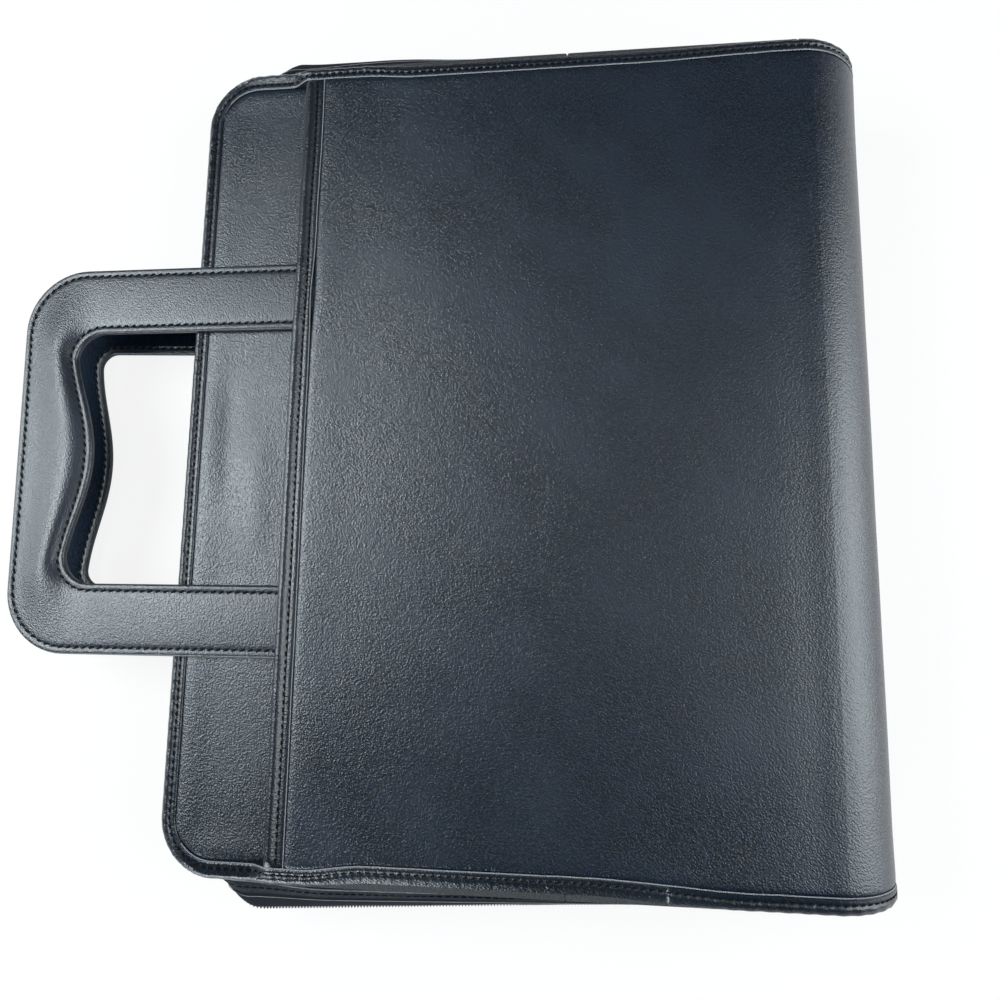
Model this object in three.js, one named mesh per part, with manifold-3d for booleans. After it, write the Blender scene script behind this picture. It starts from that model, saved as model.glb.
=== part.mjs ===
// Zipper ring binder with a rounded spine and two pull-out handles, lying closed on its back cover.
// Millimetres, +Z up, +X towards the spine, +Y towards the end that the zip slider is parked at.
import * as THREE from 'three';
import { mergeVertices } from 'three/addons/utils/BufferGeometryUtils.js';
import Module from 'manifold-3d';

const wasm = await Module();
wasm.setup();

// Overall sizes
const COVER_HEIGHT = 345;
const COVER_REACH = 286;
const EDGE_THICKNESS = 37;
const SPINE_THICKNESS = 57.5;
const CORNER_RADIUS = 18;

// Layers of a cover and of the spine, from the outer face inwards
const GAP = 0.3;
const SKIN = 1.2;
const PADDING = 2.8;
const FLOOR_SHEET = 1.0;
const BOARD = 2.0;
const LINING = 0.8;

// Folded edge binding and the rolled mouth of the handle pocket
const BINDING_WIDTH = 6;
const BINDING_FLAP = 1.0;
const BINDING_WALL = 1.2;
const BINDING_RAMP = 5;
const MOUTH_X = 45.2;
const WELT_ROLL = 4.4;
const WELT_TAIL = 3.2;
const FRONT_WELT_RISE = 1.0;
const BACK_WELT_RISE = 0;

// Handles
const HANDLE_TOP = 80;
const HANDLE_BOTTOM = -86;
const ARM_WIDTH = 29;
const FRONT_REACH = 74.8;
const FRONT_SKEW = 2.3;
const REAR_REACH = 77.2;
const REAR_SKEW = 0.8;
const HANDLE_OUTER_RADIUS = 27;
const HANDLE_INNER_RADIUS = 9;
const GRIP_WIDTH = 22.5;
const GRIP_SWELL = 10.5;
const GRIP_SWELL_LENGTH = 104;
const FACE_SHEET = 0.7;
const FRONT_GRIP_DOME = 3.5;
const REAR_GRIP_DOME = 1.2;
const ARM_HOLD = 25;
const STOP_WIDTH = 12;
const STOP_OVERHANG = 5;
const HANDLE_STROKE = 74;
const SLIDE_CLEARANCE = 1;
const POCKET_SPARE = 4;

// Zip and the gusset that carries it
const ZIP_BULGE = 13.6;
const ZIP_BULGE_END = 2.6;
const ZIP_CORNER_RADIUS = 15.7;
const ZIP_SETBACK = 22.4;
const ZIP_END_SETBACK = 7.25;
const GUSSET_INSET = 3;
const FACING_SHEET = 1.0;
const TAPE_SHEET = 0.7;
const FACING_SHARE = 0.5;
const SEAM_SHARE = 0.08;
const TAPE_UPRIGHT = 2;
const ROW_WIDTH = 2.4;
const ROW_HEIGHT = 2;
const ROW_GAP = 1.4;
const SLIDER_LENGTH = 10;
const SLIDER_PLATE = 1;
const SLIDER_CLEARANCE = 0.7;
const SLIDER_LIP = 1.5;
const SLIDER_NECK = 0.8;
const PULL_LENGTH = 26;
const PULL_WIDTH = 7;
const PULL_SHEET = 1.2;
const PULL_PIN_RADIUS = 0.8;
const PULL_EYE_WALL = 1;
const PULL_EYE_HEIGHT = 3.4;
const EAR_SHEET = 0.8;

// Ring mechanism
const RING_RADIUS = 15.5;
const ROD_RADIUS = 1.5;
const RING_PITCH = 107.95;
const RING_ROOT = 6;
const RING_RISE = 16;
const ROD_UPRIGHT = 2.4;
const ROD_BEND = -40 * Math.PI / 180;
const HOUSING_WIDTH = 20;
const HOUSING_END = 16.5;
const HOUSING_RISE = 6;
const HOUSING_SHEET = 1;
const SPINE_CLEARANCE = 1.3;
const BLADE_SHEET = 1;
const BLADE_END = 8.05;
const BLADE_LIFT = 0.9;
const SLOT_LENGTH = 6;
const SLOT_INNER = 4;
const RIVET_RADIUS = 2;
const RIVET_HEAD_RADIUS = 3.6;
const RIVET_HEAD = 1;
const LEVER_WIDTH = 14;
const LEVER_SHEET = 1.4;
const LEVER_HEIGHT = 16;
const LEVER_FOOT = 2;

// Pieces sewn inside the front cover
const POCKET_SHEET = 0.8;
const POCKET_EDGE = 32;
const POCKET_LENGTH = 190;
const POCKET_HEIGHT = 190;
const CARD_LENGTH = 100;
const CARD_HEIGHT = 70;
const PEN_LOOP_RADIUS = 7;
const PEN_LOOP_SHEET = 1;
const PEN_LOOP_LENGTH = 34;
const PEN_LOOP_SETBACK = 17;

// Sizes that follow from the ones above
const HALF_HEIGHT = COVER_HEIGHT / 2;
const PADDING_TOP = SKIN + GAP;
const FLOOR_TOP = PADDING_TOP + PADDING + GAP;
const BOARD_TOP = FLOOR_TOP + FLOOR_SHEET + GAP;
const LINING_TOP = BOARD_TOP + BOARD + GAP;
const STACK = LINING_TOP + LINING;
const SPINE_RADIUS = SPINE_THICKNESS / 2;
const SPINE_X = COVER_REACH - SPINE_RADIUS;
const EDGE_ABOVE = EDGE_THICKNESS - SPINE_RADIUS;
const EDGE_SPAN = Math.hypot(SPINE_X, EDGE_ABOVE);
const TILT = Math.asin(SPINE_RADIUS / EDGE_SPAN) - Math.atan2(EDGE_ABOVE, SPINE_X);
const FRONT_LENGTH = Math.sqrt(EDGE_SPAN ** 2 - SPINE_RADIUS ** 2);
const BACK_LENGTH = SPINE_X;
const ZIP_END = SPINE_X - ZIP_END_SETBACK;
const HANDLE_HALF = (HANDLE_TOP - HANDLE_BOTTOM) / 2;
const REAR_TIP = REAR_REACH + REAR_SKEW * (HANDLE_HALF - HANDLE_OUTER_RADIUS) / HANDLE_HALF;
const ORIGIN_X = (COVER_REACH - REAR_TIP) / 2;
const POCKET_END = MOUTH_X + ARM_HOLD + HANDLE_STROKE + STOP_WIDTH + POCKET_SPARE;
const RING_X = SPINE_X - HOUSING_WIDTH / 2 - SPINE_CLEARANCE;
const BASE_Z = STACK + GAP;
const BLADE_LENGTH = 2 * (RING_PITCH + BLADE_END);
const HOUSING_LENGTH = BLADE_LENGTH + 2 * HOUSING_END;

// Colours and finishes
const LEATHER = { color: 0x1b2129, roughness: 0.42, metalness: 0 };
const BOUND = { color: 0x14191f, roughness: 0.5, metalness: 0 };
const CLOTH = { color: 0x15171b, roughness: 0.9, metalness: 0 };
const FIBRE = { color: 0x6e5c46, roughness: 0.9, metalness: 0 };
const FOAM = { color: 0x3a3c40, roughness: 0.95, metalness: 0 };
const NICKEL = { color: 0xb9bcc0, roughness: 0.28, metalness: 1 };
const NYLON = { color: 0x22262c, roughness: 0.5, metalness: 0 };

const range = (count) => Array.from({ length: count }, (_, index) => index);
const mix = (a, b, t) => a + (b - a) * t;

// A closed solid through a row of matching outlines, capped at both ends
function loft(rings) {
  const size = rings[0].length;
  const points = rings.flat().map((point) => new THREE.Vector3(...point));
  const faces = [];
  for (const i of range(rings.length - 1)) {
    for (const j of range(size)) {
      const a = i * size + j;
      const b = i * size + ((j + 1) % size);
      faces.push([a, b, b + size], [a, b + size, a + size]);
    }
  }
  const caps = [[0, false], [(rings.length - 1) * size, true]];
  for (const [start, flip] of caps) {
    for (const [a, b, c] of capFaces(points.slice(start, start + size))) {
      faces.push(flip ? [start + a, start + b, start + c] : [start + a, start + c, start + b]);
    }
  }
  return closedGeometry(points, faces);
}

// Triangles that fill one flat outline
function capFaces(outline) {
  const normal = new THREE.Vector3();
  outline.forEach((point, index) => {
    normal.add(point.clone().cross(outline[(index + 1) % outline.length]));
  });
  normal.normalize();
  const side = outline[1].clone().sub(outline[0]).normalize();
  const up = normal.clone().cross(side).normalize();
  const flat = outline.map((point) => new THREE.Vector2(point.dot(side), point.dot(up)));
  return THREE.ShapeUtils.triangulateShape(flat, []);
}

// Geometry from points and faces, turned so that its faces point out
function closedGeometry(points, faces) {
  const volume = faces.reduce((sum, [a, b, c]) => (
    sum + points[a].dot(points[b].clone().cross(points[c]))), 0);
  const index = volume < 0 ? faces.flatMap(([a, b, c]) => [a, c, b]) : faces.flat();
  const geometry = new THREE.BufferGeometry();
  const values = points.flatMap((point) => point.toArray());
  geometry.setAttribute('position', new THREE.Float32BufferAttribute(values, 3));
  geometry.setIndex(index);
  return geometry;
}

// Boolean joins and cuts
function toManifold(geometry) {
  const bare = geometry.index ? geometry.toNonIndexed() : geometry.clone();
  bare.deleteAttribute('normal');
  bare.deleteAttribute('uv');
  const merged = mergeVertices(bare, 1e-4);
  return new wasm.Manifold(new wasm.Mesh({
    numProp: 3,
    vertProperties: new Float32Array(merged.attributes.position.array),
    triVerts: new Uint32Array(merged.index.array),
  }));
}

function fromManifold(solid) {
  const mesh = solid.getMesh();
  const geometry = new THREE.BufferGeometry();
  geometry.setAttribute('position', new THREE.BufferAttribute(mesh.vertProperties, 3));
  geometry.setIndex(new THREE.BufferAttribute(mesh.triVerts, 1));
  return geometry;
}

const join = (...parts) => fromManifold(parts.map(toManifold).reduce((a, b) => a.add(b)));
const cut = (part, ...tools) => (
  fromManifold(tools.map(toManifold).reduce((a, b) => a.subtract(b), toManifold(part))));

// A box from its low corner to its high corner
function box(low, high) {
  const size = high.map((value, axis) => value - low[axis]);
  const centre = high.map((value, axis) => (value + low[axis]) / 2);
  return new THREE.BoxGeometry(...size).translate(...centre);
}

// A flat sheet with any outline in plan, between two heights
function plate(shape, heightA, heightB, curveSegments = 6) {
  const depth = Math.abs(heightB - heightA);
  const geometry = new THREE.ExtrudeGeometry(shape, { depth, bevelEnabled: false, curveSegments });
  return geometry.translate(0, 0, Math.min(heightA, heightB));
}

// A profile in the XZ plane, drawn out along Y
function alongY(profile, lowY, highY, curveSegments = 6) {
  const depth = highY - lowY;
  const geometry = new THREE.ExtrudeGeometry(profile, { depth, bevelEnabled: false, curveSegments });
  return geometry.rotateX(Math.PI / 2).translate(0, highY, 0);
}

function cylinder(radius, low, high, sides = 16) {
  const span = new THREE.Vector3(...high).sub(new THREE.Vector3(...low));
  const geometry = new THREE.CylinderGeometry(radius, radius, span.length(), sides);
  const turn = new THREE.Quaternion().setFromUnitVectors(
    new THREE.Vector3(0, 1, 0), span.clone().normalize());
  geometry.applyQuaternion(turn);
  return geometry.translate(...low.map((value, axis) => (value + high[axis]) / 2));
}

const rectangle = (lowX, lowY, highX, highY) => new THREE.Shape([
  new THREE.Vector2(lowX, lowY), new THREE.Vector2(highX, lowY),
  new THREE.Vector2(highX, highY), new THREE.Vector2(lowX, highY)]);

// The cover's outline drawn in by an inset, with its two corners at the opening edge rounded
function coverOutline(inset, highX) {
  const radius = Math.max(CORNER_RADIUS - inset, 1);
  const half = HALF_HEIGHT - inset;
  const shape = new THREE.Shape();
  shape.moveTo(highX, -half);
  shape.lineTo(highX, half);
  shape.lineTo(inset + radius, half);
  shape.absarc(inset + radius, half - radius, radius, Math.PI / 2, Math.PI, false);
  shape.lineTo(inset, -half + radius);
  shape.absarc(inset + radius, -half + radius, radius, Math.PI, 1.5 * Math.PI, false);
  shape.closePath();
  return shape;
}

const parts = new THREE.Group();
const binder = new THREE.Group();
binder.position.x = -ORIGIN_X;
parts.add(binder);

// The front cover's own frame: X from the opening edge to the spine, its outer face at height 0
const frontFrame = new THREE.Group();
frontFrame.position.z = EDGE_THICKNESS;
frontFrame.rotation.y = -TILT;
binder.add(frontFrame);

function addPiece(group, name, geometry, finish) {
  const mesh = new THREE.Mesh(geometry, new THREE.MeshStandardMaterial(finish));
  mesh.name = name;
  group.add(mesh);
  return mesh;
}

// Edge binding: a folded strip that runs along three edges of a cover
function coverBinding(length, side) {
  const stations = [];
  const half = HALF_HEIGHT;
  const endX = length - GAP / 2;
  const straight = [endX, MOUTH_X - GAP, MOUTH_X - GAP - BINDING_RAMP];
  const corner = CORNER_RADIUS;
  const cornerSteps = 7;
  straight.forEach((x) => stations.push({ x, y: -half, nx: 0, ny: -1 }));
  for (const i of range(cornerSteps + 1)) {
    const angle = 1.5 * Math.PI - (i / cornerSteps) * Math.PI / 2;
    const [nx, ny] = [Math.cos(angle), Math.sin(angle)];
    stations.push({ x: corner + corner * nx, y: -half + corner + corner * ny, nx, ny });
  }
  const mirrored = stations.map(({ x, y, nx, ny }) => ({ x, y: -y, nx, ny: -ny })).reverse();
  const rings = [...stations, ...mirrored].map(({ x, y, nx, ny }) => {
    const top = x > MOUTH_X - GAP - 0.01 ? 0 : FLOOR_TOP;
    const soft = BINDING_WALL * 0.6;
    const section = [
      [BINDING_WIDTH, top], [soft, top], [0, top + soft], [0, STACK - soft], [soft, STACK],
      [BINDING_WIDTH, STACK], [BINDING_WIDTH, STACK - LINING], [BINDING_WALL, STACK - LINING],
      [BINDING_WALL, top + BINDING_FLAP], [BINDING_WIDTH, top + BINDING_FLAP]];
    return section.map(([inset, depth]) => [x - nx * inset, y - ny * inset, side * depth]);
  });
  return loft(rings);
}

// Rolled mouth of the pocket: a bead, then a flat tail that the main panel butts against
function mouthWelt(side, rise) {
  const beadSteps = 6;
  const rollEnd = MOUTH_X + WELT_ROLL;
  const middle = MOUTH_X + WELT_ROLL / 2;
  const bead = range(beadSteps + 1).map((i) => {
    const angle = Math.PI * (1 - i / beadSteps);
    return [middle + Math.cos(angle) * WELT_ROLL / 2, SKIN / 2 - Math.sin(angle) * (SKIN / 2 + rise)];
  });
  const section = [...bead, [rollEnd + 0.2, 0], [rollEnd + WELT_TAIL, 0],
    [rollEnd + WELT_TAIL, SKIN], [MOUTH_X + 0.4, SKIN]];
  const half = HALF_HEIGHT - BINDING_WIDTH - GAP;
  return loft([-half, half].map((y) => section.map(([x, depth]) => [x, y, side * depth])));
}

// Everything in one cover that is a flat layer, with its binding and its pocket mouth
function addCover(group, name, length, side, weltRise, rivetHoles) {
  const at = (depth) => side * depth;
  const endX = length - GAP / 2;
  const sheetHalf = HALF_HEIGHT - BINDING_WIDTH - GAP;
  const padHalf = HALF_HEIGHT - BINDING_WALL - GAP;
  const panelX = MOUTH_X + WELT_ROLL + WELT_TAIL + GAP;
  addPiece(group, `${name}_main_panel`,
    plate(rectangle(panelX, -sheetHalf, endX, sheetHalf), at(0), at(SKIN)), LEATHER);
  addPiece(group, `${name}_pocket_welt`, mouthWelt(side, weltRise), BOUND);
  addPiece(group, `${name}_strip_panel`,
    plate(coverOutline(BINDING_WIDTH + GAP, POCKET_END), at(FLOOR_TOP), at(FLOOR_TOP + FLOOR_SHEET)),
    LEATHER);
  const boardShape = plate(coverOutline(BINDING_WALL + GAP, endX), at(BOARD_TOP), at(BOARD_TOP + BOARD));
  const liningShape = plate(coverOutline(BINDING_WIDTH + GAP, endX), at(LINING_TOP), at(STACK));
  addPiece(group, `${name}_board`,
    rivetHoles.length ? cut(boardShape, ...rivetHoles) : boardShape, FIBRE);
  addPiece(group, `${name}_lining`,
    rivetHoles.length ? cut(liningShape, ...rivetHoles) : liningShape, CLOTH);
  addPiece(group, `${name}_edge_binding`, coverBinding(length, side), BOUND);

  const shoulderX = MOUTH_X + ARM_HOLD;
  const armHigh = HANDLE_TOP + SLIDE_CLEARANCE;
  const armLow = HANDLE_BOTTOM - SLIDE_CLEARANCE;
  const stopSide = STOP_OVERHANG + SLIDE_CLEARANCE;
  const sidePad = (inner, outer, stopInner) => new THREE.Shape([
    [MOUTH_X, inner], [MOUTH_X, outer], [POCKET_END, outer], [POCKET_END, stopInner],
    [shoulderX, stopInner], [shoulderX, inner]].map((point) => new THREE.Vector2(...point)));
  const pad = (shape) => plate(shape, at(PADDING_TOP), at(PADDING_TOP + PADDING));
  addPiece(group, `${name}_padding_upper`, pad(sidePad(armHigh, padHalf, armHigh + stopSide)), FOAM);
  addPiece(group, `${name}_padding_lower`, pad(sidePad(armLow, -padHalf, armLow - stopSide)), FOAM);
  addPiece(group, `${name}_padding_rear`,
    pad(rectangle(POCKET_END + GAP, -padHalf, endX, padHalf)), FOAM);
  const guideHigh = HANDLE_TOP - ARM_WIDTH - SLIDE_CLEARANCE;
  const guideLow = HANDLE_BOTTOM + ARM_WIDTH + SLIDE_CLEARANCE;
  addPiece(group, `${name}_mouth_guide`,
    pad(rectangle(MOUTH_X, guideLow, shoulderX, guideHigh)), FOAM);
}

// Matching points along the handle's outer and inner edge, from one arm's end round to the other's
function handleEdges(reach, skew) {
  const middle = (HANDLE_TOP + HANDLE_BOTTOM) / 2;
  const half = HANDLE_HALF;
  const outerX = (y) => -reach - skew * (y - middle) / half;
  const gripWidth = (y) => GRIP_WIDTH + GRIP_SWELL * (
    0.5 + 0.5 * Math.cos(Math.min(Math.abs(y - middle) / GRIP_SWELL_LENGTH, 0.5) * 2 * Math.PI));
  const innerX = (y) => outerX(y) + gripWidth(y);
  const armEnd = MOUTH_X + ARM_HOLD;
  const pairs = [];
  const corner = (sign) => {
    const steps = 7;
    const outerY = middle + sign * half;
    const innerY = middle + sign * (half - ARM_WIDTH);
    const outerTurnY = outerY - sign * HANDLE_OUTER_RADIUS;
    const innerTurnY = innerY - sign * HANDLE_INNER_RADIUS;
    return range(steps + 1).map((i) => {
      const angle = (i / steps) * Math.PI / 2;
      const back = 1 - Math.sin(angle);
      const up = Math.cos(angle);
      const outer = [outerX(outerTurnY) + HANDLE_OUTER_RADIUS * back,
        outerTurnY + sign * HANDLE_OUTER_RADIUS * up];
      const inner = [innerX(innerTurnY) + HANDLE_INNER_RADIUS * back,
        innerTurnY + sign * HANDLE_INNER_RADIUS * up];
      return { outer, inner, swell: Math.sin(angle) ** 2 };
    });
  };
  const upper = corner(1);
  const lower = corner(-1).reverse();
  const armX = [armEnd, MOUTH_X * 0.5, 0];
  armX.forEach((x) => pairs.push({
    outer: [x, HANDLE_TOP], inner: [x, HANDLE_TOP - ARM_WIDTH], swell: 0 }));
  pairs.push(...upper);
  const gripSteps = 12;
  const [from, to] = [upper.at(-1), lower[0]];
  for (const i of range(gripSteps - 1)) {
    const t = (i + 1) / gripSteps;
    const outerY = mix(from.outer[1], to.outer[1], t);
    const innerY = mix(from.inner[1], to.inner[1], t);
    pairs.push({ outer: [outerX(outerY), outerY], inner: [innerX(innerY), innerY], swell: 1 });
  }
  pairs.push(...lower);
  armX.reverse().forEach((x) => pairs.push({
    outer: [x, HANDLE_BOTTOM], inner: [x, HANDLE_BOTTOM + ARM_WIDTH], swell: 0 }));
  return pairs;
}

// One sheet of a handle; each side of it may swell outwards over the grip
function handleSheet(edges, side, top, bottom, topDome, bottomDome) {
  const across = topDome ? [[0, 0], [0.13, 0.2], [0.32, 0.8], [0.5, 1], [0.68, 0.8], [0.87, 0.2], [1, 0]]
    : [[0, 0], [1, 0]];
  const rings = edges.map(({ outer, inner, swell }) => {
    const line = (depth, dome) => across.map(([t, crown]) => [
      mix(outer[0], inner[0], t), mix(outer[1], inner[1], t),
      side * (depth - dome * crown * swell)]);
    return [...line(top, topDome), ...line(bottom, bottomDome).reverse()];
  });
  return loft(rings);
}

function addHandle(group, name, side, reach, skew, dome) {
  const edges = handleEdges(reach, skew);
  const top = PADDING_TOP;
  const bottom = PADDING_TOP + PADDING;
  const coreTop = top + FACE_SHEET + GAP;
  const coreBottom = bottom - FACE_SHEET - GAP;
  addPiece(group, `${name}_outer_face`,
    handleSheet(edges, side, top, top + FACE_SHEET, dome, dome), LEATHER);
  addPiece(group, `${name}_core`, handleSheet(edges, side, coreTop, coreBottom, dome, 0), FOAM);
  addPiece(group, `${name}_inner_face`,
    handleSheet(edges, side, bottom - FACE_SHEET, bottom, 0, 0), LEATHER);
  const stopX = MOUTH_X + ARM_HOLD + GAP;
  addPiece(group, `${name}_stop_strip`, plate(
    rectangle(stopX, HANDLE_BOTTOM - STOP_OVERHANG, stopX + STOP_WIDTH, HANDLE_TOP + STOP_OVERHANG),
    side * top, side * bottom), CLOTH);
}

// The curved wall of the spine between two depths and two Y places
const SPINE_STEPS = 14;
const SPINE_START = Math.PI / 2 + TILT - GAP / (2 * SPINE_RADIUS);
const SPINE_FINISH = -Math.PI / 2 + GAP / (2 * SPINE_RADIUS);
function spineWall(outerDepth, innerDepth, endInset) {
  const half = HALF_HEIGHT - endInset;
  const rings = range(SPINE_STEPS + 1).map((i) => {
    const angle = mix(SPINE_START, SPINE_FINISH, i / SPINE_STEPS);
    return [[outerDepth, -half], [outerDepth, half], [innerDepth, half], [innerDepth, -half]]
      .map(([depth, y]) => spinePoint(angle, depth, y));
  });
  return loft(rings);
}

function spinePoint(angle, depth, y) {
  const radius = SPINE_RADIUS - depth;
  return [SPINE_X + radius * Math.cos(angle), y, SPINE_RADIUS + radius * Math.sin(angle)];
}

function spineBinding(sign) {
  const end = sign * HALF_HEIGHT;
  const soft = BINDING_WALL * 0.6;
  const section = [
    [BINDING_WIDTH, 0], [soft, 0], [0, soft], [0, STACK - soft], [soft, STACK],
    [BINDING_WIDTH, STACK], [BINDING_WIDTH, STACK - LINING], [BINDING_WALL, STACK - LINING],
    [BINDING_WALL, BINDING_FLAP], [BINDING_WIDTH, BINDING_FLAP]];
  const rings = range(SPINE_STEPS + 1).map((i) => {
    const angle = mix(SPINE_START, SPINE_FINISH, i / SPINE_STEPS);
    return section.map(([inset, depth]) => spinePoint(angle, depth, end - sign * inset));
  });
  return loft(rings);
}

function addSpine(group) {
  const panelInset = BINDING_WIDTH + GAP;
  const boardInset = BINDING_WALL + GAP;
  addPiece(group, 'spine_skin', spineWall(0, SKIN, panelInset), LEATHER);
  addPiece(group, 'spine_padding', spineWall(PADDING_TOP, BOARD_TOP - GAP, boardInset), FOAM);
  addPiece(group, 'spine_board', spineWall(BOARD_TOP, BOARD_TOP + BOARD, boardInset), FIBRE);
  addPiece(group, 'spine_lining', spineWall(LINING_TOP, STACK, panelInset), CLOTH);
  addPiece(group, 'spine_binding_upper', spineBinding(1), BOUND);
  addPiece(group, 'spine_binding_lower', spineBinding(-1), BOUND);
}

// Height of the closed zip, half way between the two covers
const WEDGE_APEX = EDGE_THICKNESS / Math.tan(TILT);
const chainHeight = (x) => (x + WEDGE_APEX) * Math.tan(TILT / 2);

// A point of the front cover's frame, in the binder's frame
const fromFront = (x, depth) => [
  x * Math.cos(TILT) + depth * Math.sin(TILT),
  EDGE_THICKNESS + x * Math.sin(TILT) - depth * Math.cos(TILT)];

// Matching stations along the cover's edge and along the zip, from the lower end round to the upper
function zipStations() {
  const half = HALF_HEIGHT;
  const startY = half + ZIP_BULGE_END;
  const cornerY = half + ZIP_BULGE;
  const turnX = ZIP_SETBACK + ZIP_CORNER_RADIUS;
  const edgeRadius = CORNER_RADIUS - GUSSET_INSET;
  const stations = [];
  const runSteps = 4;
  for (const i of range(runSteps + 1)) {
    const t = i / runSteps;
    stations.push({
      zip: [mix(ZIP_END, turnX, t), -mix(startY, cornerY, t)],
      edge: [mix(ZIP_END, CORNER_RADIUS, t), -half + GUSSET_INSET], out: [0, -1] });
  }
  const cornerSteps = 7;
  for (const i of range(cornerSteps)) {
    const angle = 1.5 * Math.PI - ((i + 1) / cornerSteps) * Math.PI / 2;
    const out = [Math.cos(angle), Math.sin(angle)];
    stations.push({
      zip: [turnX + ZIP_CORNER_RADIUS * out[0], -cornerY + ZIP_CORNER_RADIUS * (1 + out[1])],
      edge: [CORNER_RADIUS + edgeRadius * out[0], -half + CORNER_RADIUS + edgeRadius * out[1]], out });
  }
  const flip = ([x, y]) => [x, -y];
  const mirrored = stations.map(({ zip, edge, out }) => (
    { zip: flip(zip), edge: flip(edge), out: flip(out) })).reverse();
  return [...stations, ...mirrored];
}

// One strip of the gusset; share 0 is at the zip and share 1 at the cover's edge
function gussetStrip(side, fromShare, toShare, thickness, upright) {
  const depth = STACK + GAP + FACING_SHEET / 2;
  const steps = 3;
  const rings = zipStations().map(({ zip, edge, out }) => {
    const [edgeX, edgeZ] = side < 0 ? fromFront(edge[0], depth) : [edge[0], depth];
    const rise = -side;
    const rowEnd = chainHeight(zip[0]) + rise * (ROW_GAP / 2 + ROW_HEIGHT + GAP);
    const archZ = rowEnd + rise * TAPE_UPRIGHT;
    const reach = [edgeX - zip[0], edge[1] - zip[1]];
    const outward = reach[0] * out[0] + reach[1] * out[1];
    const drop = edgeZ - archZ;
    const line = range(steps + 1).map((i) => {
      const angle = mix(fromShare, toShare, i / steps) * Math.PI / 2;
      const along = 1 - Math.cos(angle);
      const slope = [outward * Math.sin(angle), Math.abs(drop) * Math.cos(angle) + 0.05];
      const length = Math.hypot(...slope);
      return { x: zip[0] + reach[0] * along, y: zip[1] + reach[1] * along,
        z: archZ + drop * Math.sin(angle), offOut: slope[1] / length, offUp: -rise * slope[0] / length };
    });
    if (upright) line.unshift({ ...line[0], z: rowEnd });
    const face = (sign) => line.map(({ x, y, z, offOut, offUp }) => [
      x + out[0] * offOut * sign * thickness / 2, y + out[1] * offOut * sign * thickness / 2,
      z + offUp * sign * thickness / 2]);
    return [...face(1), ...face(-1).reverse()];
  });
  return loft(rings);
}

// A row of zip teeth as a plain bead along the tape's edge
function zipRow(side) {
  const rings = zipStations().map(({ zip, out }) => {
    const near = chainHeight(zip[0]) - side * ROW_GAP / 2;
    const far = near - side * ROW_HEIGHT;
    const at = (offset, z) => [zip[0] + out[0] * offset, zip[1] + out[1] * offset, z];
    const half = ROW_WIDTH / 2;
    return [at(-half, near), at(half, near), at(half, far), at(-half, far)];
  });
  return loft(rings);
}

// Direction of the zip's upper straight run, away from the spine
const RUN_START = new THREE.Vector3(ZIP_END, HALF_HEIGHT + ZIP_BULGE_END, chainHeight(ZIP_END));
const RUN_TURN = ZIP_SETBACK + ZIP_CORNER_RADIUS;
const RUN_END = new THREE.Vector3(RUN_TURN, HALF_HEIGHT + ZIP_BULGE, chainHeight(RUN_TURN));
const RUN = RUN_END.clone().sub(RUN_START).normalize();

// A frame on the zip's upper run: X back towards the spine, Y out of the binder, Z up
function runFrame(distance) {
  const frame = new THREE.Group();
  const xAxis = RUN.clone().negate();
  const yAxis = new THREE.Vector3(0, 0, 1).cross(xAxis).normalize();
  const zAxis = xAxis.clone().cross(yAxis);
  frame.quaternion.setFromRotationMatrix(new THREE.Matrix4().makeBasis(xAxis, yAxis, zAxis));
  frame.position.copy(RUN_START).addScaledVector(RUN, distance);
  binder.add(frame);
  return frame;
}

function addZip() {
  const gusset = { front: -1, rear: 1 };
  for (const [name, side] of Object.entries(gusset)) {
    addPiece(binder, `${name}_gusset_facing`,
      gussetStrip(side, 1 - FACING_SHARE, 1, FACING_SHEET, false), BOUND);
    addPiece(binder, `${name}_zip_tape`,
      gussetStrip(side, 0, 1 - FACING_SHARE - SEAM_SHARE, TAPE_SHEET, true), CLOTH);
    addPiece(binder, `${name}_zip_teeth`, zipRow(side), NYLON);
  }
}

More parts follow.
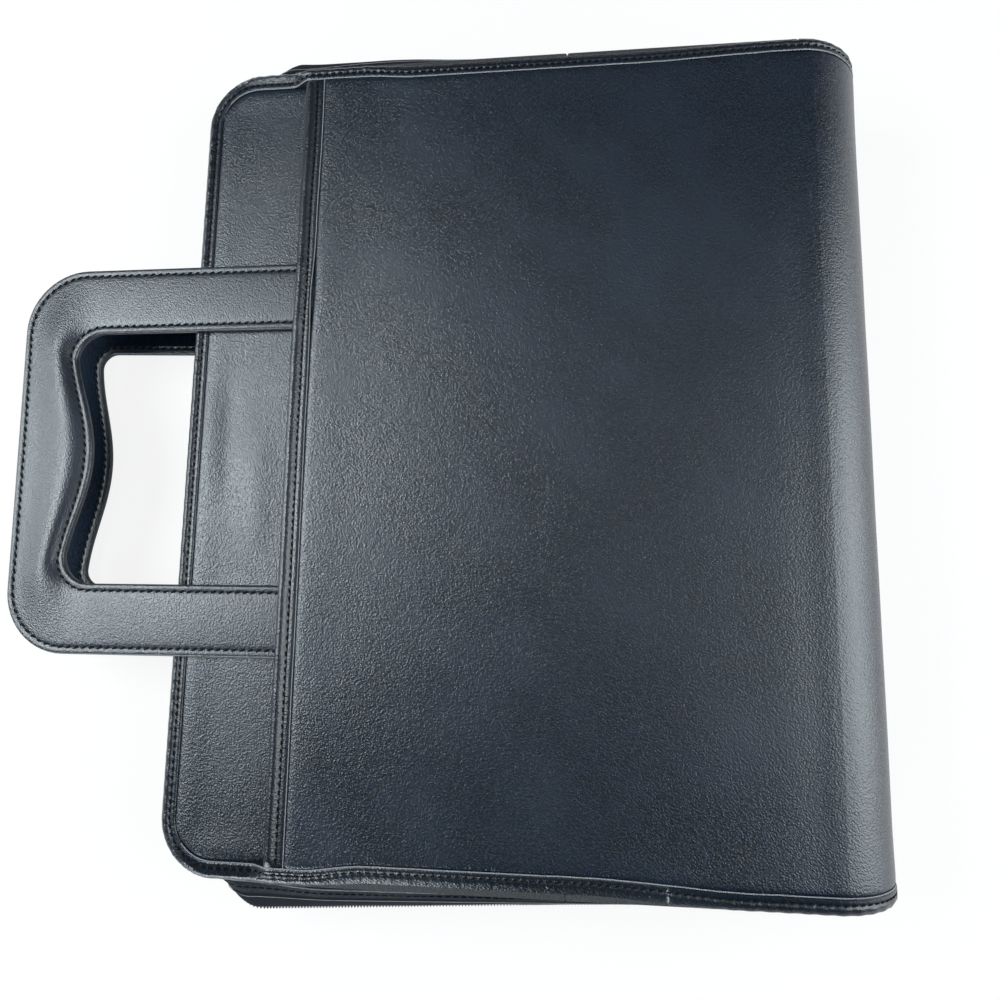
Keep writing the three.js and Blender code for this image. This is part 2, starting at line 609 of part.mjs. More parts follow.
function addSlider() {
  const frame = runFrame(SLIDER_LENGTH / 2 + 1);
  const halfLength = SLIDER_LENGTH / 2;
  const inner = ROW_WIDTH / 2 + SLIDER_CLEARANCE;
  const outer = inner + SLIDER_PLATE;
  const halfHeight = ROW_GAP / 2 + ROW_HEIGHT + SLIDER_LIP;
  const platePiece = (sign) => box(
    [-halfLength, Math.min(sign * inner, sign * outer), -halfHeight],
    [halfLength, Math.max(sign * inner, sign * outer), halfHeight]);
  const neck = box([halfLength - 2.5, -outer + 0.1, -SLIDER_NECK / 2],
    [halfLength - 0.5, outer - 0.1, SLIDER_NECK / 2]);
  const eyeRadius = PULL_PIN_RADIUS + GAP + PULL_EYE_WALL;
  const pinY = outer + eyeRadius + GAP;
  const earZ = PULL_EYE_HEIGHT / 2 + GAP;
  const ear = (sign) => box(
    [-eyeRadius * 0.8, outer - 0.1, Math.min(sign * earZ, sign * (earZ + EAR_SHEET))],
    [eyeRadius * 0.8, pinY + PULL_PIN_RADIUS + 0.4, Math.max(sign * earZ, sign * (earZ + EAR_SHEET))]);
  const pin = cylinder(PULL_PIN_RADIUS, [0, pinY, -earZ - 0.1], [0, pinY, earZ + 0.1], 10);
  addPiece(frame, 'zip_slider',
    join(platePiece(1), platePiece(-1), neck, ear(1), ear(-1), pin), NICKEL);

  const eye = cylinder(eyeRadius, [0, pinY, -PULL_EYE_HEIGHT / 2], [0, pinY, PULL_EYE_HEIGHT / 2], 14);
  const bore = cylinder(PULL_PIN_RADIUS + GAP, [0, pinY, -PULL_EYE_HEIGHT], [0, pinY, PULL_EYE_HEIGHT], 14);
  const halfWidth = PULL_WIDTH / 2;
  const neckShape = new THREE.Shape([
    [-eyeRadius * 0.6, -PULL_EYE_HEIGHT / 2], [-eyeRadius * 0.6, PULL_EYE_HEIGHT / 2],
    [-halfLength - 2, PULL_EYE_HEIGHT / 2], [-halfLength - 4, halfWidth],
    [-PULL_LENGTH + 2, halfWidth], [-PULL_LENGTH, halfWidth - 2], [-PULL_LENGTH, -halfWidth + 2],
    [-PULL_LENGTH + 2, -halfWidth], [-halfLength - 4, -halfWidth],
    [-halfLength - 2, -PULL_EYE_HEIGHT / 2]].map((point) => new THREE.Vector2(...point)));
  const tab = alongY(neckShape, pinY - PULL_SHEET / 2, pinY + PULL_SHEET / 2);
  addPiece(frame, 'zip_pull', cut(join(eye, tab), bore), NICKEL);
}

// Ring mechanism, standing on the back cover's lining
const BLADE_Z = BASE_Z + BLADE_LIFT;
const BLADE_PIVOT = HOUSING_WIDTH / 2 - HOUSING_SHEET - GAP;
const ROD_LOW = BLADE_Z + BLADE_SHEET + GAP;
const RING_Z = ROD_LOW + RING_RISE;
const RIVET_Y = BLADE_LENGTH / 2 + RIVET_HEAD_RADIUS + 1;

function housing() {
  const half = HOUSING_WIDTH / 2;
  const arch = (inset) => {
    const [halfSpan, rise] = [half - inset, HOUSING_RISE - inset];
    const steps = 8;
    return range(steps + 1).map((i) => {
      const t = i / steps;
      const z = BASE_Z + mix(rise * 0.45, rise, Math.sin(Math.PI * t));
      return new THREE.Vector2(RING_X + mix(halfSpan, -halfSpan, t), z);
    });
  };
  const outline = [new THREE.Vector2(RING_X + half, BASE_Z), ...arch(0),
    new THREE.Vector2(RING_X - half, BASE_Z),
    new THREE.Vector2(RING_X - half + HOUSING_SHEET, BASE_Z),
    ...arch(HOUSING_SHEET).reverse(),
    new THREE.Vector2(RING_X + half - HOUSING_SHEET, BASE_Z)];
  const shell = alongY(new THREE.Shape(outline), -HOUSING_LENGTH / 2, HOUSING_LENGTH / 2);
  const slotOuter = half - HOUSING_SHEET;
  const slots = [-1, 1].flatMap((sign) => [-1, 0, 1].map((place) => {
    const y = place * RING_PITCH;
    const [near, far] = [SLOT_INNER, slotOuter].map((offset) => RING_X + sign * offset);
    return box([Math.min(near, far), y - SLOT_LENGTH / 2, BASE_Z + BLADE_LIFT],
      [Math.max(near, far), y + SLOT_LENGTH / 2, BASE_Z + HOUSING_RISE + 1]);
  }));
  return cut(shell, ...slots, ...rivetCutters());
}

function rivetCutters() {
  return [-1, 1].map((sign) => cylinder(RIVET_RADIUS + GAP,
    [RING_X, sign * RIVET_Y, 0], [RING_X, sign * RIVET_Y, BASE_Z + HOUSING_RISE + 2]));
}

// A headed pin clenched under the board
function rivet(sign) {
  const headZ = BASE_Z + HOUSING_RISE + GAP;
  const underZ = BOARD_TOP - GAP;
  const at = (z) => [RING_X, sign * RIVET_Y, z];
  return join(cylinder(RIVET_RADIUS, at(underZ - 0.5), at(headZ + 0.5)),
    cylinder(RIVET_HEAD_RADIUS, at(headZ), at(headZ + RIVET_HEAD)),
    cylinder(RIVET_HEAD_RADIUS, at(underZ - RIVET_HEAD), at(underZ)));
}

function halfRing(sign, y) {
  const arcSteps = 9;
  const sides = 8;
  const tipAngle = Math.PI / 2 - GAP / (2 * RING_RADIUS);
  const arc = range(arcSteps + 1).map((i) => {
    const angle = mix(ROD_BEND, tipAngle, i / arcSteps);
    return [RING_RADIUS * Math.cos(angle), RING_Z + RING_RADIUS * Math.sin(angle)];
  });
  const path = [[RING_ROOT, ROD_LOW], [RING_ROOT, ROD_LOW + ROD_UPRIGHT], ...arc];
  const last = path.length - 1;
  const rings = path.map(([offset, z], i) => {
    const [before, after] = [path[Math.max(i - 1, 0)], path[Math.min(i + 1, last)]];
    const run = [after[0] - before[0], after[1] - before[1]];
    const length = Math.hypot(...run);
    const across = i === last ? [0, 1] : [run[1] / length, -run[0] / length];
    return range(sides).map((j) => {
      const turn = (j / sides) * 2 * Math.PI;
      const out = ROD_RADIUS * Math.cos(turn);
      return [RING_X + sign * (offset + across[0] * out), y + ROD_RADIUS * Math.sin(turn),
        z + across[1] * out];
    });
  });
  return loft(rings);
}

function lever(sign) {
  const tipY = sign * (HOUSING_LENGTH / 2);
  const footY = tipY - sign * LEVER_FOOT;
  const half = LEVER_WIDTH / 2;
  const z = BLADE_Z;
  const out = (distance) => tipY + sign * distance;
  const profile = [[footY, z], [out(2), z], [out(5), z + 2.5], [out(6), z + LEVER_HEIGHT],
    [out(6 - LEVER_SHEET), z + LEVER_HEIGHT], [out(5 - LEVER_SHEET), z + 3],
    [out(1.5), z + LEVER_SHEET], [footY, z + LEVER_SHEET]];
  return loft([-half, half].map((x) => profile.map(([y, height]) => [RING_X + x, y, height])));
}

function addRings(group) {
  addPiece(group, 'ring_housing', housing(), NICKEL);
  addPiece(group, 'ring_rivet_upper', rivet(1), NICKEL);
  addPiece(group, 'ring_rivet_lower', rivet(-1), NICKEL);
  const hands = { left: -1, right: 1 };
  for (const [hand, sign] of Object.entries(hands)) {
    const edge = RING_X + sign * BLADE_PIVOT;
    const centre = RING_X + sign * GAP / 2;
    addPiece(group, `ring_blade_${hand}`, box(
      [Math.min(edge, centre), -BLADE_LENGTH / 2, BLADE_Z],
      [Math.max(edge, centre), BLADE_LENGTH / 2, BLADE_Z + BLADE_SHEET]), NICKEL);
    ['lower', 'middle', 'upper'].forEach((place, index) => {
      addPiece(group, `half_ring_${hand}_${place}`, halfRing(sign, (index - 1) * RING_PITCH), NICKEL);
    });
  }
  addPiece(group, 'ring_lever_upper', lever(1), NICKEL);
  addPiece(group, 'ring_lever_lower', lever(-1), NICKEL);
}

// Document pocket, card pocket and pen loop under the front cover's lining
function addInside(group) {
  const top = -(STACK + GAP);
  const pocketLow = -HALF_HEIGHT + BINDING_WIDTH + 8;
  addPiece(group, 'document_pocket', plate(
    rectangle(POCKET_EDGE, pocketLow, POCKET_EDGE + POCKET_LENGTH, pocketLow + POCKET_HEIGHT),
    top, top - POCKET_SHEET), LEATHER);
  const cardX = POCKET_EDGE + (POCKET_LENGTH - CARD_LENGTH) / 2;
  const cardTop = top - POCKET_SHEET - GAP;
  const cardY = pocketLow + POCKET_HEIGHT - CARD_HEIGHT - 20;
  addPiece(group, 'card_pocket', plate(
    rectangle(cardX, cardY, cardX + CARD_LENGTH, cardY + CARD_HEIGHT),
    cardTop, cardTop - POCKET_SHEET), LEATHER);
  const loopX = FRONT_LENGTH - PEN_LOOP_SETBACK;
  const loopZ = top - PEN_LOOP_RADIUS;
  const hole = new THREE.Path();
  hole.absarc(loopX, loopZ, PEN_LOOP_RADIUS - PEN_LOOP_SHEET, 0, 2 * Math.PI, true);
  const round = new THREE.Shape();
  round.absarc(loopX, loopZ, PEN_LOOP_RADIUS, 0, 2 * Math.PI, false);
  round.holes.push(hole);
  const loopY = RING_PITCH / 2;
  addPiece(group, 'pen_loop',
    alongY(round, loopY - PEN_LOOP_LENGTH / 2, loopY + PEN_LOOP_LENGTH / 2, 10), BOUND);
}

addCover(binder, 'back', BACK_LENGTH, 1, BACK_WELT_RISE, rivetCutters());
addCover(frontFrame, 'front', FRONT_LENGTH, -1, FRONT_WELT_RISE, []);
addSpine(binder);
addHandle(frontFrame, 'front_handle', -1, FRONT_REACH, FRONT_SKEW, FRONT_GRIP_DOME);
addHandle(binder, 'rear_handle', 1, REAR_REACH, REAR_SKEW, REAR_GRIP_DOME);
addZip();
addSlider();
addRings(binder);
addInside(frontFrame);

export default parts;
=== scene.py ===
"""A zipper binder in black leather, dressed around its solid model.

Lengths in the code are millimetres on the binder as it lies: s runs from the opening edge of the
front cover over the spine to the opening edge of the back cover, y along the spine, h up from the
outer face.
"""

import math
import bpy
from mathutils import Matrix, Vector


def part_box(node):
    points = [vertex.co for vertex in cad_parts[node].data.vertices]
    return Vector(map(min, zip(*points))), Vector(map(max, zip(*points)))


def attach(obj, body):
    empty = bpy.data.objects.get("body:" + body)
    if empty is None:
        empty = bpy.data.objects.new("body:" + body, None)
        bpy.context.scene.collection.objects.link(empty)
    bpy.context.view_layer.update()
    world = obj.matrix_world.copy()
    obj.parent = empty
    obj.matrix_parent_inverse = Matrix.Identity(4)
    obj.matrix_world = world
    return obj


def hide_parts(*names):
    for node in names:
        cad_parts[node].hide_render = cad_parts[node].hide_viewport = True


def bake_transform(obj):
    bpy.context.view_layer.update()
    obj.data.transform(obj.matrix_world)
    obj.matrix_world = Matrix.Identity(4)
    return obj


bl_info = {
    "name": "Zipper Binder",
    "version": (1, 0, 0),
    "blender": (4, 5, 0),
    "location": "View3D > Sidebar > Binder",
    "description": "Leather zipper binder with rings and two pull-out handles",
    "category": "Object",
}

import bmesh
import bpy
from mathutils import Euler, Matrix, Vector, noise

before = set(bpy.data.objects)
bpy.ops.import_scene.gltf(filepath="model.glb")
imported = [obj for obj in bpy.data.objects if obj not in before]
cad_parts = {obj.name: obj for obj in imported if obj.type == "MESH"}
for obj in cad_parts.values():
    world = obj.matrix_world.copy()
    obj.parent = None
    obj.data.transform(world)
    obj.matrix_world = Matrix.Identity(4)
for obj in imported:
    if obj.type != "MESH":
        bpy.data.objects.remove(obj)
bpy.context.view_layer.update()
MM = 0.001

# Shape of the closed binder, which the solids share
HALF = 170.6
EDGE_THICKNESS = 37.0
SPINE_RADIUS = 28.75
SPINE_X = 257.25
CORNER = 22.5
STACK = 9.0
SPINE_SETTLED = 0.45
STRIP_DEPTH = 4.6
BINDING_WIDTH = 6.0
SKIN_THICKNESS = 1.1
STRIP_THICKNESS = 0.9
LINING_DEPTH = 8.2
LINING_THICKNESS = 0.8
BOARD_DEPTH = 6.1
BOARD_THICKNESS = 1.95
MOUTH = 45.2
# Where the front pocket's mouth gapes over the handle's upper arm
GAPE_Y = 66.0
PANEL_START = 53.1
ARM_END = 70.2
POCKET_END = 160.2
ORIGIN_X = SPINE_X + SPINE_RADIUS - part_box("spine_skin")[1].x / MM
EDGE_ABOVE = EDGE_THICKNESS - SPINE_RADIUS
EDGE_SPAN = math.hypot(SPINE_X, EDGE_ABOVE)
TILT = math.asin(SPINE_RADIUS / EDGE_SPAN) - math.atan2(EDGE_ABOVE, SPINE_X)
FRONT_END = math.sqrt(EDGE_SPAN**2 - SPINE_RADIUS**2)
BACK_START = FRONT_END + SPINE_RADIUS * (math.pi + TILT)
TOTAL = BACK_START + SPINE_X
HINGE_FRONT = FRONT_END - 7.0
HINGE_SPINE = FRONT_END + 5.0

# Handles
HANDLE_TOP = 80.0
HANDLE_BOTTOM = -86.0
ARM_WIDTH = 29.0
OUTER_RADIUS = 27.0
GRIP_SWELL_LENGTH = 104.0
ARM_MIDDLES = (HANDLE_TOP - ARM_WIDTH / 2, HANDLE_BOTTOM + ARM_WIDTH / 2)
HANDLE_THREAD_INSET = 3.05
# A dull sheet on each handle's face toward the other handle: painted shade where the handles
# overlap
SHADE_SHEET_INSET = 3.9
SHADE_SHEET_DEPTH = 4.2
SHADE_SHEET_THICKNESS = 0.3
# How far each reaches out, its skew, the crown of its grip, the grip's width and its swell, and the
# radius of its inner corners
HANDLES = {
    "front_handle": (74.8, 2.3, 2.3, 23.6, 10.5, 12.0),
    "rear_handle": (77.2, 0.8, 1.0, 22.5, 8.0, 7.0),
}

# Zip and gusset
ZIP_BULGE = 12.8
ZIP_BULGE_END = 2.6
ZIP_RADIUS = 10.0
ZIP_SETBACK = 30.0
ZIP_END = 250.0
EDGE_INSET = 8.0
SLIDE_START = (250.0, 175.1)
SLIDE_END = (38.1, 186.1)
SLIDE_TUCK = 2.8
SLIDER_PLACE = 6.0
ROW_GAP = 1.4
ROW_HEIGHT = 2.0
TOOTH_PITCH = 1.27
WEDGE_APEX = EDGE_THICKNESS / math.tan(TILT)

# Rings
RING_X = 245.95
RING_Z = 27.5
RING_RADIUS = 15.5
RING_PITCH = 107.95
ROD_RADIUS = 1.5
ROD_SIDES = 18


def wrap(s, y, h=0.0):
    """From the covers laid out flat, in millimetres, to the closed binder, in metres."""
    lying = smooth((s - FRONT_END) / (BACK_START - FRONT_END))
    settled = SPINE_SETTLED * lying * max(0.0, min(1.0, 1 + h / 6))
    depth = settled - h * (1 - 0.65 * lying if h > 0 else 1)
    if s <= FRONT_END:
        x = s * math.cos(TILT) + depth * math.sin(TILT)
        z = EDGE_THICKNESS + s * math.sin(TILT) - depth * math.cos(TILT)
    elif s < BACK_START:
        angle = math.pi / 2 + TILT - (s - FRONT_END) / SPINE_RADIUS
        x = SPINE_X + (SPINE_RADIUS - depth) * math.cos(angle)
        z = SPINE_RADIUS + (SPINE_RADIUS - depth) * math.sin(angle)
    else:
        x = SPINE_X + BACK_START - s
        z = depth
    return place_mm(x, y, z)


def wrap_normal(s, y, h=0.0):
    """The way out of the cover at that place."""
    return (wrap(s, y, h + 0.5) - wrap(s, y, h)).normalized()


def place_mm(x, y, z):
    """A point in the binder's own millimetres, x from the opening edge."""
    return Vector((x - ORIGIN_X, y, z)) * MM


def smooth(t):
    """Soft step from 0 to 1."""
    t = max(0.0, min(1.0, t))
    return t * t * (3 - 2 * t)


def mix(a, b, t):
    return a + (b - a) * t


def wave(a, b, size, seed=0.0):
    """Soft unevenness between -1 and 1 with features of about that size."""
    return noise.noise(Vector((a / size, b / size, seed)))


def even(start, stop, step):
    """Places from start to stop, both included, about a step apart."""
    count = max(1, round(abs(stop - start) / step))
    return [mix(start, stop, i / count) for i in range(count + 1)]


# Distances of the first lines of faces from a sewn edge
EDGE_STEPS = (0, 0.25, 0.6, 1.0, 1.6, 2.4, 3.4, 4.8, 6.5, 9)


def graded(start, stop, step, at_start=True, at_stop=True):
    """Places from start to stop, closer together next to a sewn edge."""
    head = [start + d for d in EDGE_STEPS] if at_start else [start]
    tail = [stop - d for d in reversed(EDGE_STEPS)] if at_stop else [stop]
    return head[:-1] + even(head[-1], tail[0], step) + tail[1:]


# Shader maths


class Value:
    """A node's number output; sums on it add Math nodes."""

    def __init__(self, shader, socket):
        self.shader = shader
        self.socket = socket

    def _math(self, operation, *values):
        return self.shader.node("Math", {"operation": operation}, values).value()

    def __add__(self, other):
        return self._math("ADD", self, other)

    def __sub__(self, other):
        return self._math("SUBTRACT", self, other)

    def __rsub__(self, other):
        return self._math("SUBTRACT", other, self)

    def __mul__(self, other):
        return self._math("MULTIPLY", self, other)

    __radd__ = __add__
    __rmul__ = __mul__

    def clamp(self):
        node = self.shader.node("Math", {"operation": "MULTIPLY", "use_clamp": True}, (self, 1.0))
        return node.value()

    def span(self, low, high, to_low=0.0, to_high=1.0):
        """Soft step from one number to another."""
        values = {"Value": self, "From Min": low, "From Max": high,
                  "To Min": to_low, "To Max": to_high}
        node = self.shader.node("MapRange", {"interpolation_type": "SMOOTHSTEP"}, values)
        return node.value("Result")


class Made:
    """A new node, whose outputs are taken by name or number."""

    def __init__(self, shader, node):
        self.shader = shader
        self.node = node

    def value(self, name=0):
        return Value(self.shader, self.node.outputs[name])


class Shader:
    """A material, or the world, built node by node."""

    def __init__(self, owner):
        self.owner = owner
        owner.use_nodes = True
        self.tree = owner.node_tree
        self.tree.nodes.clear()

    def node(self, kind, settings=None, inputs=None):
        made = self.tree.nodes.new("ShaderNode" + kind)
        for key, setting in (settings or {}).items():
            setattr(made, key, setting)
        pairs = inputs.items() if isinstance(inputs, dict) else enumerate(inputs or ())
        for key, given in pairs:
            socket = made.inputs[key]
            if isinstance(given, Value):
                self.tree.links.new(given.socket, socket)
            else:
                socket.default_value = given
        return Made(self, made)

    def coordinates(self, scale=(1, 1, 1), turn=(0, 0, 0)):
        spot = self.node("TexCoord").value("Object")
        inputs = {"Vector": spot, "Scale": scale, "Rotation": turn}
        return self.node("Mapping", None, inputs).value("Vector")

    def noise(self, vector, size, detail=2.0, rough=0.5):
        inputs = {"Vector": vector, "Scale": 1 / (size * MM), "Detail": detail, "Roughness": rough}
        return self.node("TexNoise", None, inputs)

    def mix(self, factor, a, b):
        """Two colours."""
        made = self.node("Mix", {"data_type": "RGBA"})
        for name, given in (("Factor_Float", factor), ("A_Color", a), ("B_Color", b)):
            socket = next(i for i in made.node.inputs if i.identifier == name)
            if isinstance(given, Value):
                self.tree.links.new(given.socket, socket)
            else:
                socket.default_value = given
        socket = next(o for o in made.node.outputs if o.identifier == "Result_Color")
        return Value(self, socket)

    def axes(self, output):
        """X, Y and Z of a texture coordinate."""
        return self.node("SeparateXYZ", None, {"Vector": self.node("TexCoord").value(output)})

    def bump(self, height, distance, strength=1.0):
        inputs = {"Height": height, "Distance": distance * MM, "Strength": strength}
        return self.node("Bump", None, inputs).value()

    def surface(self, **inputs):
        named = {key.replace("_", " "): given for key, given in inputs.items()}
        shader = self.node("BsdfPrincipled", None, named)
        self.node("OutputMaterial", None, {"Surface": shader.value()})
        return self.owner


def shade(colour, factor=1.0):
    """A colour made darker or lighter, with its alpha."""
    return tuple(channel * factor for channel in colour[:3]) + (1.0,)


# Materials


def leather(name, colour, grain, depth, rough, specular=0.9):
    """Pebbled leather cloth: grain cells with painted shade in the creases between them and a
    painted highlight on their tops, uneven sheen, faint scuffs.
    """
    m = Shader(bpy.data.materials.new(name))
    turned = {"Vector": m.coordinates(turn=(0, 0, 0.82)), "Scale": (0.78, 1.1, 0.95)}
    spot = m.node("Mapping", None, turned).value("Vector")
    drift = m.noise(spot, grain * 2.2, 3.0, 0.6).value("Color")
    inputs = {"Vector": drift, "Scale": grain * MM * 1.6}
    shift = m.node("VectorMath", {"operation": "SCALE"}, inputs).value()
    warped = m.node("VectorMath", {"operation": "ADD"}, (spot, shift)).value()
    cells = m.node("TexVoronoi", {"feature": "SMOOTH_F1"}, {
        "Vector": warped, "Scale": 1 / (grain * MM), "Smoothness": 0.35, "Randomness": 1.0})
    pebble = 1 - cells.value("Distance")
    fine = m.noise(spot, grain * 0.35, 2.0, 0.6).value(0)
    cloud = m.noise(spot, 38.0, 3.0, 0.55).value(0)
    patch = m.noise(spot, 7.0, 4.0, 0.65).value(0)
    height = pebble + fine * 0.2 + patch * 0.5
    # Painted shade in the grain's creases and a painted highlight on the cell tops: one leather
    # colour made darker and lighter by where light falls on the grain.
    creases = pebble.span(0.30, 0.75)
    tone = m.mix(creases, shade(colour, 0.3), shade(colour, 1.4))
    tone = m.mix(cloud.span(0.35, 0.7) * 0.5, tone, shade(colour, 1.35))
    marks = m.noise(m.coordinates(scale=(1, 0.12, 1)), 5.5, 5.0, 0.7).value(0).span(0.66, 0.78)
    tone = m.mix(marks * 0.22, tone, (0.20, 0.22, 0.24, 1))
    uneven = rough + (cloud - 0.5) * 0.16 + (1 - creases) * 0.10 + marks * 0.12
    return m.surface(Base_Color=tone, Roughness=uneven, Specular_IOR_Level=specular,
                     Normal=m.bump(height, depth))


def spun(name, colour):
    """Twisted sewing thread."""
    m = Shader(bpy.data.materials.new(name))
    spot = m.coordinates(turn=(0.4, 0.3, 0.7))
    twist = m.node("TexWave", {"wave_type": "BANDS", "bands_direction": "DIAGONAL"}, {
        "Vector": spot, "Scale": 950.0, "Distortion": 1.5, "Detail": 1.0}).value("Fac")
    tone = m.mix(twist, shade(colour, 0.6), shade(colour, 1.5))
    return m.surface(Base_Color=tone, Roughness=0.75 + twist * 0.1, Specular_IOR_Level=0.15,
                     Normal=m.bump(twist, 0.12))


def woven(name, colour, pitch, rough=0.85, twill=0.0):
    """Plain or twill cloth with a thread pitch in millimetres."""
    m = Shader(bpy.data.materials.new(name))
    spot = m.coordinates(turn=(0, 0, twill))
    threads = []
    for direction in ("X", "Y"):
        settings = {"wave_type": "BANDS", "bands_direction": direction, "wave_profile": "SIN"}
        inputs = {"Vector": spot, "Scale": 0.5 / (pitch * MM), "Distortion": 0.4, "Detail": 1.0}
        threads.append(m.node("TexWave", settings, inputs).value("Fac"))
    weave = threads[0] * (1 - threads[1]) + threads[1] * (1 - threads[0])
    fuzz = m.noise(spot, pitch * 0.6, 2.0, 0.6).value(0)
    cloud = m.noise(spot, 30.0, 2.0).value(0)
    tone = m.mix(weave, shade(colour, 0.6), shade(colour, 1.3))
    tone = m.mix(cloud * 0.5, tone, shade(colour, 0.8))
    return m.surface(Base_Color=tone, Roughness=rough, Specular_IOR_Level=0.25,
                     Normal=m.bump(weave + fuzz * 0.4, pitch * 0.25))


def metal(name, colour, rough):
    """Brushed plating with a faint cloudiness."""
    m = Shader(bpy.data.materials.new(name))
    spot = m.coordinates(scale=(1, 0.08, 1))
    brushed = m.noise(spot, 0.5, 3.0, 0.6).value(0)
    cloud = m.noise(m.coordinates(), 14.0, 3.0, 0.6).value(0)
    tone = m.mix(cloud.span(0.4, 0.75) * 0.4, shade(colour), shade(colour, 0.72))
    return m.surface(Base_Color=tone, Metallic=1.0, Roughness=rough + brushed * 0.12 + cloud * 0.06,
                     Normal=m.bump(brushed, 0.02, 0.4))


def porous(name, colour, size, depth):
    """Foam or fibreboard: open grains."""
    m = Shader(bpy.data.materials.new(name))
    spot = m.coordinates()
    inputs = {"Vector": spot, "Scale": 1 / (size * MM)}
    cells = m.node("TexVoronoi", {"feature": "F1"}, inputs).value("Distance")
    flecks = m.noise(spot, size * 2.5, 4.0, 0.7).value(0)
    tone = m.mix(cells, shade(colour, 1.2), shade(colour, 0.6))
    tone = m.mix(flecks.span(0.5, 0.7) * 0.5, tone, shade(colour, 0.75))
    return m.surface(Base_Color=tone, Roughness=0.92, Normal=m.bump(cells + flecks, depth))


def moulded(name, colour):
    """Plastic of the zip's coil."""
    m = Shader(bpy.data.materials.new(name))
    spot = m.coordinates()
    grain = m.noise(spot, 0.5, 3.0, 0.6).value(0)
    tone = m.mix(grain, shade(colour, 0.8), shade(colour, 1.3))
    return m.surface(Base_Color=tone, Roughness=0.34 + grain * 0.16, Normal=m.bump(grain, 0.04))


# The two covers and the bodies that carry them
SIDES = {"front": "front_cover", "back": "back"}
MATERIALS = {}


def material(name):
    """The material of that name, made the first time it is asked for."""
    if name not in MATERIALS:
        c = bpy.context.scene.binder_colours
        looks = {
            "leather": (leather, c.leather, 0.66, 0.145, 0.26),
            "handle_leather": (leather, c.leather, 0.66, 0.12, 0.30),
            "binding": (leather, c.binding, 0.8, 0.12, 0.26, 0.75),
            # Nearly glossless leather, painted shade on the handles' faces toward each other
            "handle_back": (leather, c.leather, 0.9, 0.10, 0.5, 0.06),
            "gusset": (leather, c.binding, 0.6, 0.10, 0.5, 0.2),
            "raw_edge": (woven, c.raw_edge, 0.3),
            "thread": (spun, c.thread),
            "lining": (woven, c.lining, 0.45),
            "tape": (woven, c.tape, 0.6, 0.8, 0.785),
            "elastic": (woven, c.tape, 0.9, 0.8),
            "metal": (metal, c.metal, 0.2),
            "teeth": (moulded, c.teeth),
            "board": (porous, c.board, 0.8, 0.12),
            "foam": (porous, c.foam, 0.7, 0.3),
        }
        make, *values = looks[name]
        MATERIALS[name] = make(name, *values)
    return MATERIALS[name]


# Mesh helpers


def grid(bm, columns, rows, place):
    """A sheet of columns by rows faces whose corner (i, j) goes to place(i, j)."""
    verts = bmesh.ops.create_grid(bm, x_segments=columns, y_segments=rows, size=1.0)["verts"]
    for vert in verts:
        i = round((vert.co.x + 1) / 2 * columns)
        j = round((vert.co.y + 1) / 2 * rows)
        vert.co = place(i, j)
    return verts


def laid(bm, along, across, surface, thickness):
    """A sheet over a grid of places, given thickness on its inner side."""
    verts = grid(bm, len(along) - 1, len(across) - 1, lambda i, j: surface(along[i], across[j]))
    faces = list({face for vert in verts for face in vert.link_faces})
    bm.normal_update()
    bmesh.ops.solidify(bm, geom=faces, thickness=thickness * MM)


def swept(bm, stations, around, place):
    """A closed section of that many points carried along the stations, with both ends filled."""
    verts = grid(bm, stations - 1, around, lambda i, j: place(i, j % around))
    bmesh.ops.remove_doubles(bm, verts=verts, dist=1e-7)
    rim = [edge for edge in bm.edges if edge.is_boundary]
    bmesh.ops.holes_fill(bm, edges=rim, sides=around + 1)


class Stamp:
    """A small rounded shape that is made once and pressed into a mesh many times."""

    def __init__(self, name, squareness):
        bm = bmesh.new()
        bmesh.ops.create_uvsphere(bm, u_segments=6, v_segments=4, radius=1.0)
        for vert in bm.verts:
            vert.co = [math.copysign(abs(c) ** power, c) for c, power in zip(vert.co, squareness)]
        self.corners = [vert.co.copy() for vert in bm.verts]
        self.mesh = bpy.data.meshes.new(name)
        bm.to_mesh(self.mesh)
        bm.free()

    def press(self, bm, matrix):
        places = [c for corner in self.corners for c in matrix @ corner]
        self.mesh.vertices.foreach_set("co", places)
        bm.from_mesh(self.mesh)


STITCH = Stamp("stitch_stamp", (0.55, 1, 1))
TOOTH = Stamp("tooth_stamp", (0.6, 0.6, 0.6))


def stitch_pitch():
    """In millimetres, from the panel's setting."""
    return bpy.context.scene.binder_sizes.stitch_pitch / MM


def stitches(bm, points, normals, pitch=None, length=2.5, radius=0.3, slant=0.16):
    """Thread seen between its holes: small rounded lengths along a line of points, in metres."""
    pitch = pitch or stitch_pitch()
    runs = [(b - a).length for a, b in zip(points, points[1:])]
    count = max(1, round(sum(runs) / (pitch * MM)))
    step = sum(runs) / count
    index, passed = 0, 0.0
    for k in range(count):
        target = (k + 0.5) * step
        while index < len(runs) - 1 and passed + runs[index] < target:
            passed += runs[index]
            index += 1
        t = (target - passed) / max(runs[index], 1e-9)
        run = (points[index + 1] - points[index]).normalized()
        up = normals[index].lerp(normals[index + 1], t).normalized()
        side = up.cross(run).normalized()
        up = run.cross(side).normalized()
        turn = Matrix((run, side, up)).transposed().to_4x4() @ Matrix.Rotation(slant, 4, "Z")
        at = Matrix.Translation(points[index].lerp(points[index + 1], t))
        size = Matrix.Diagonal((length / 2 * MM, radius * MM, radius * MM * 0.8, 1))
        STITCH.press(bm, at @ turn @ size)


def cover_stitches(bm, places, way=1, **options):
    """Stitches along (s, y, h) places of the laid-out covers, seen from outside or inside."""
    stitches(bm, [wrap(*at) for at in places], [wrap_normal(*at) * way for at in places], **options)


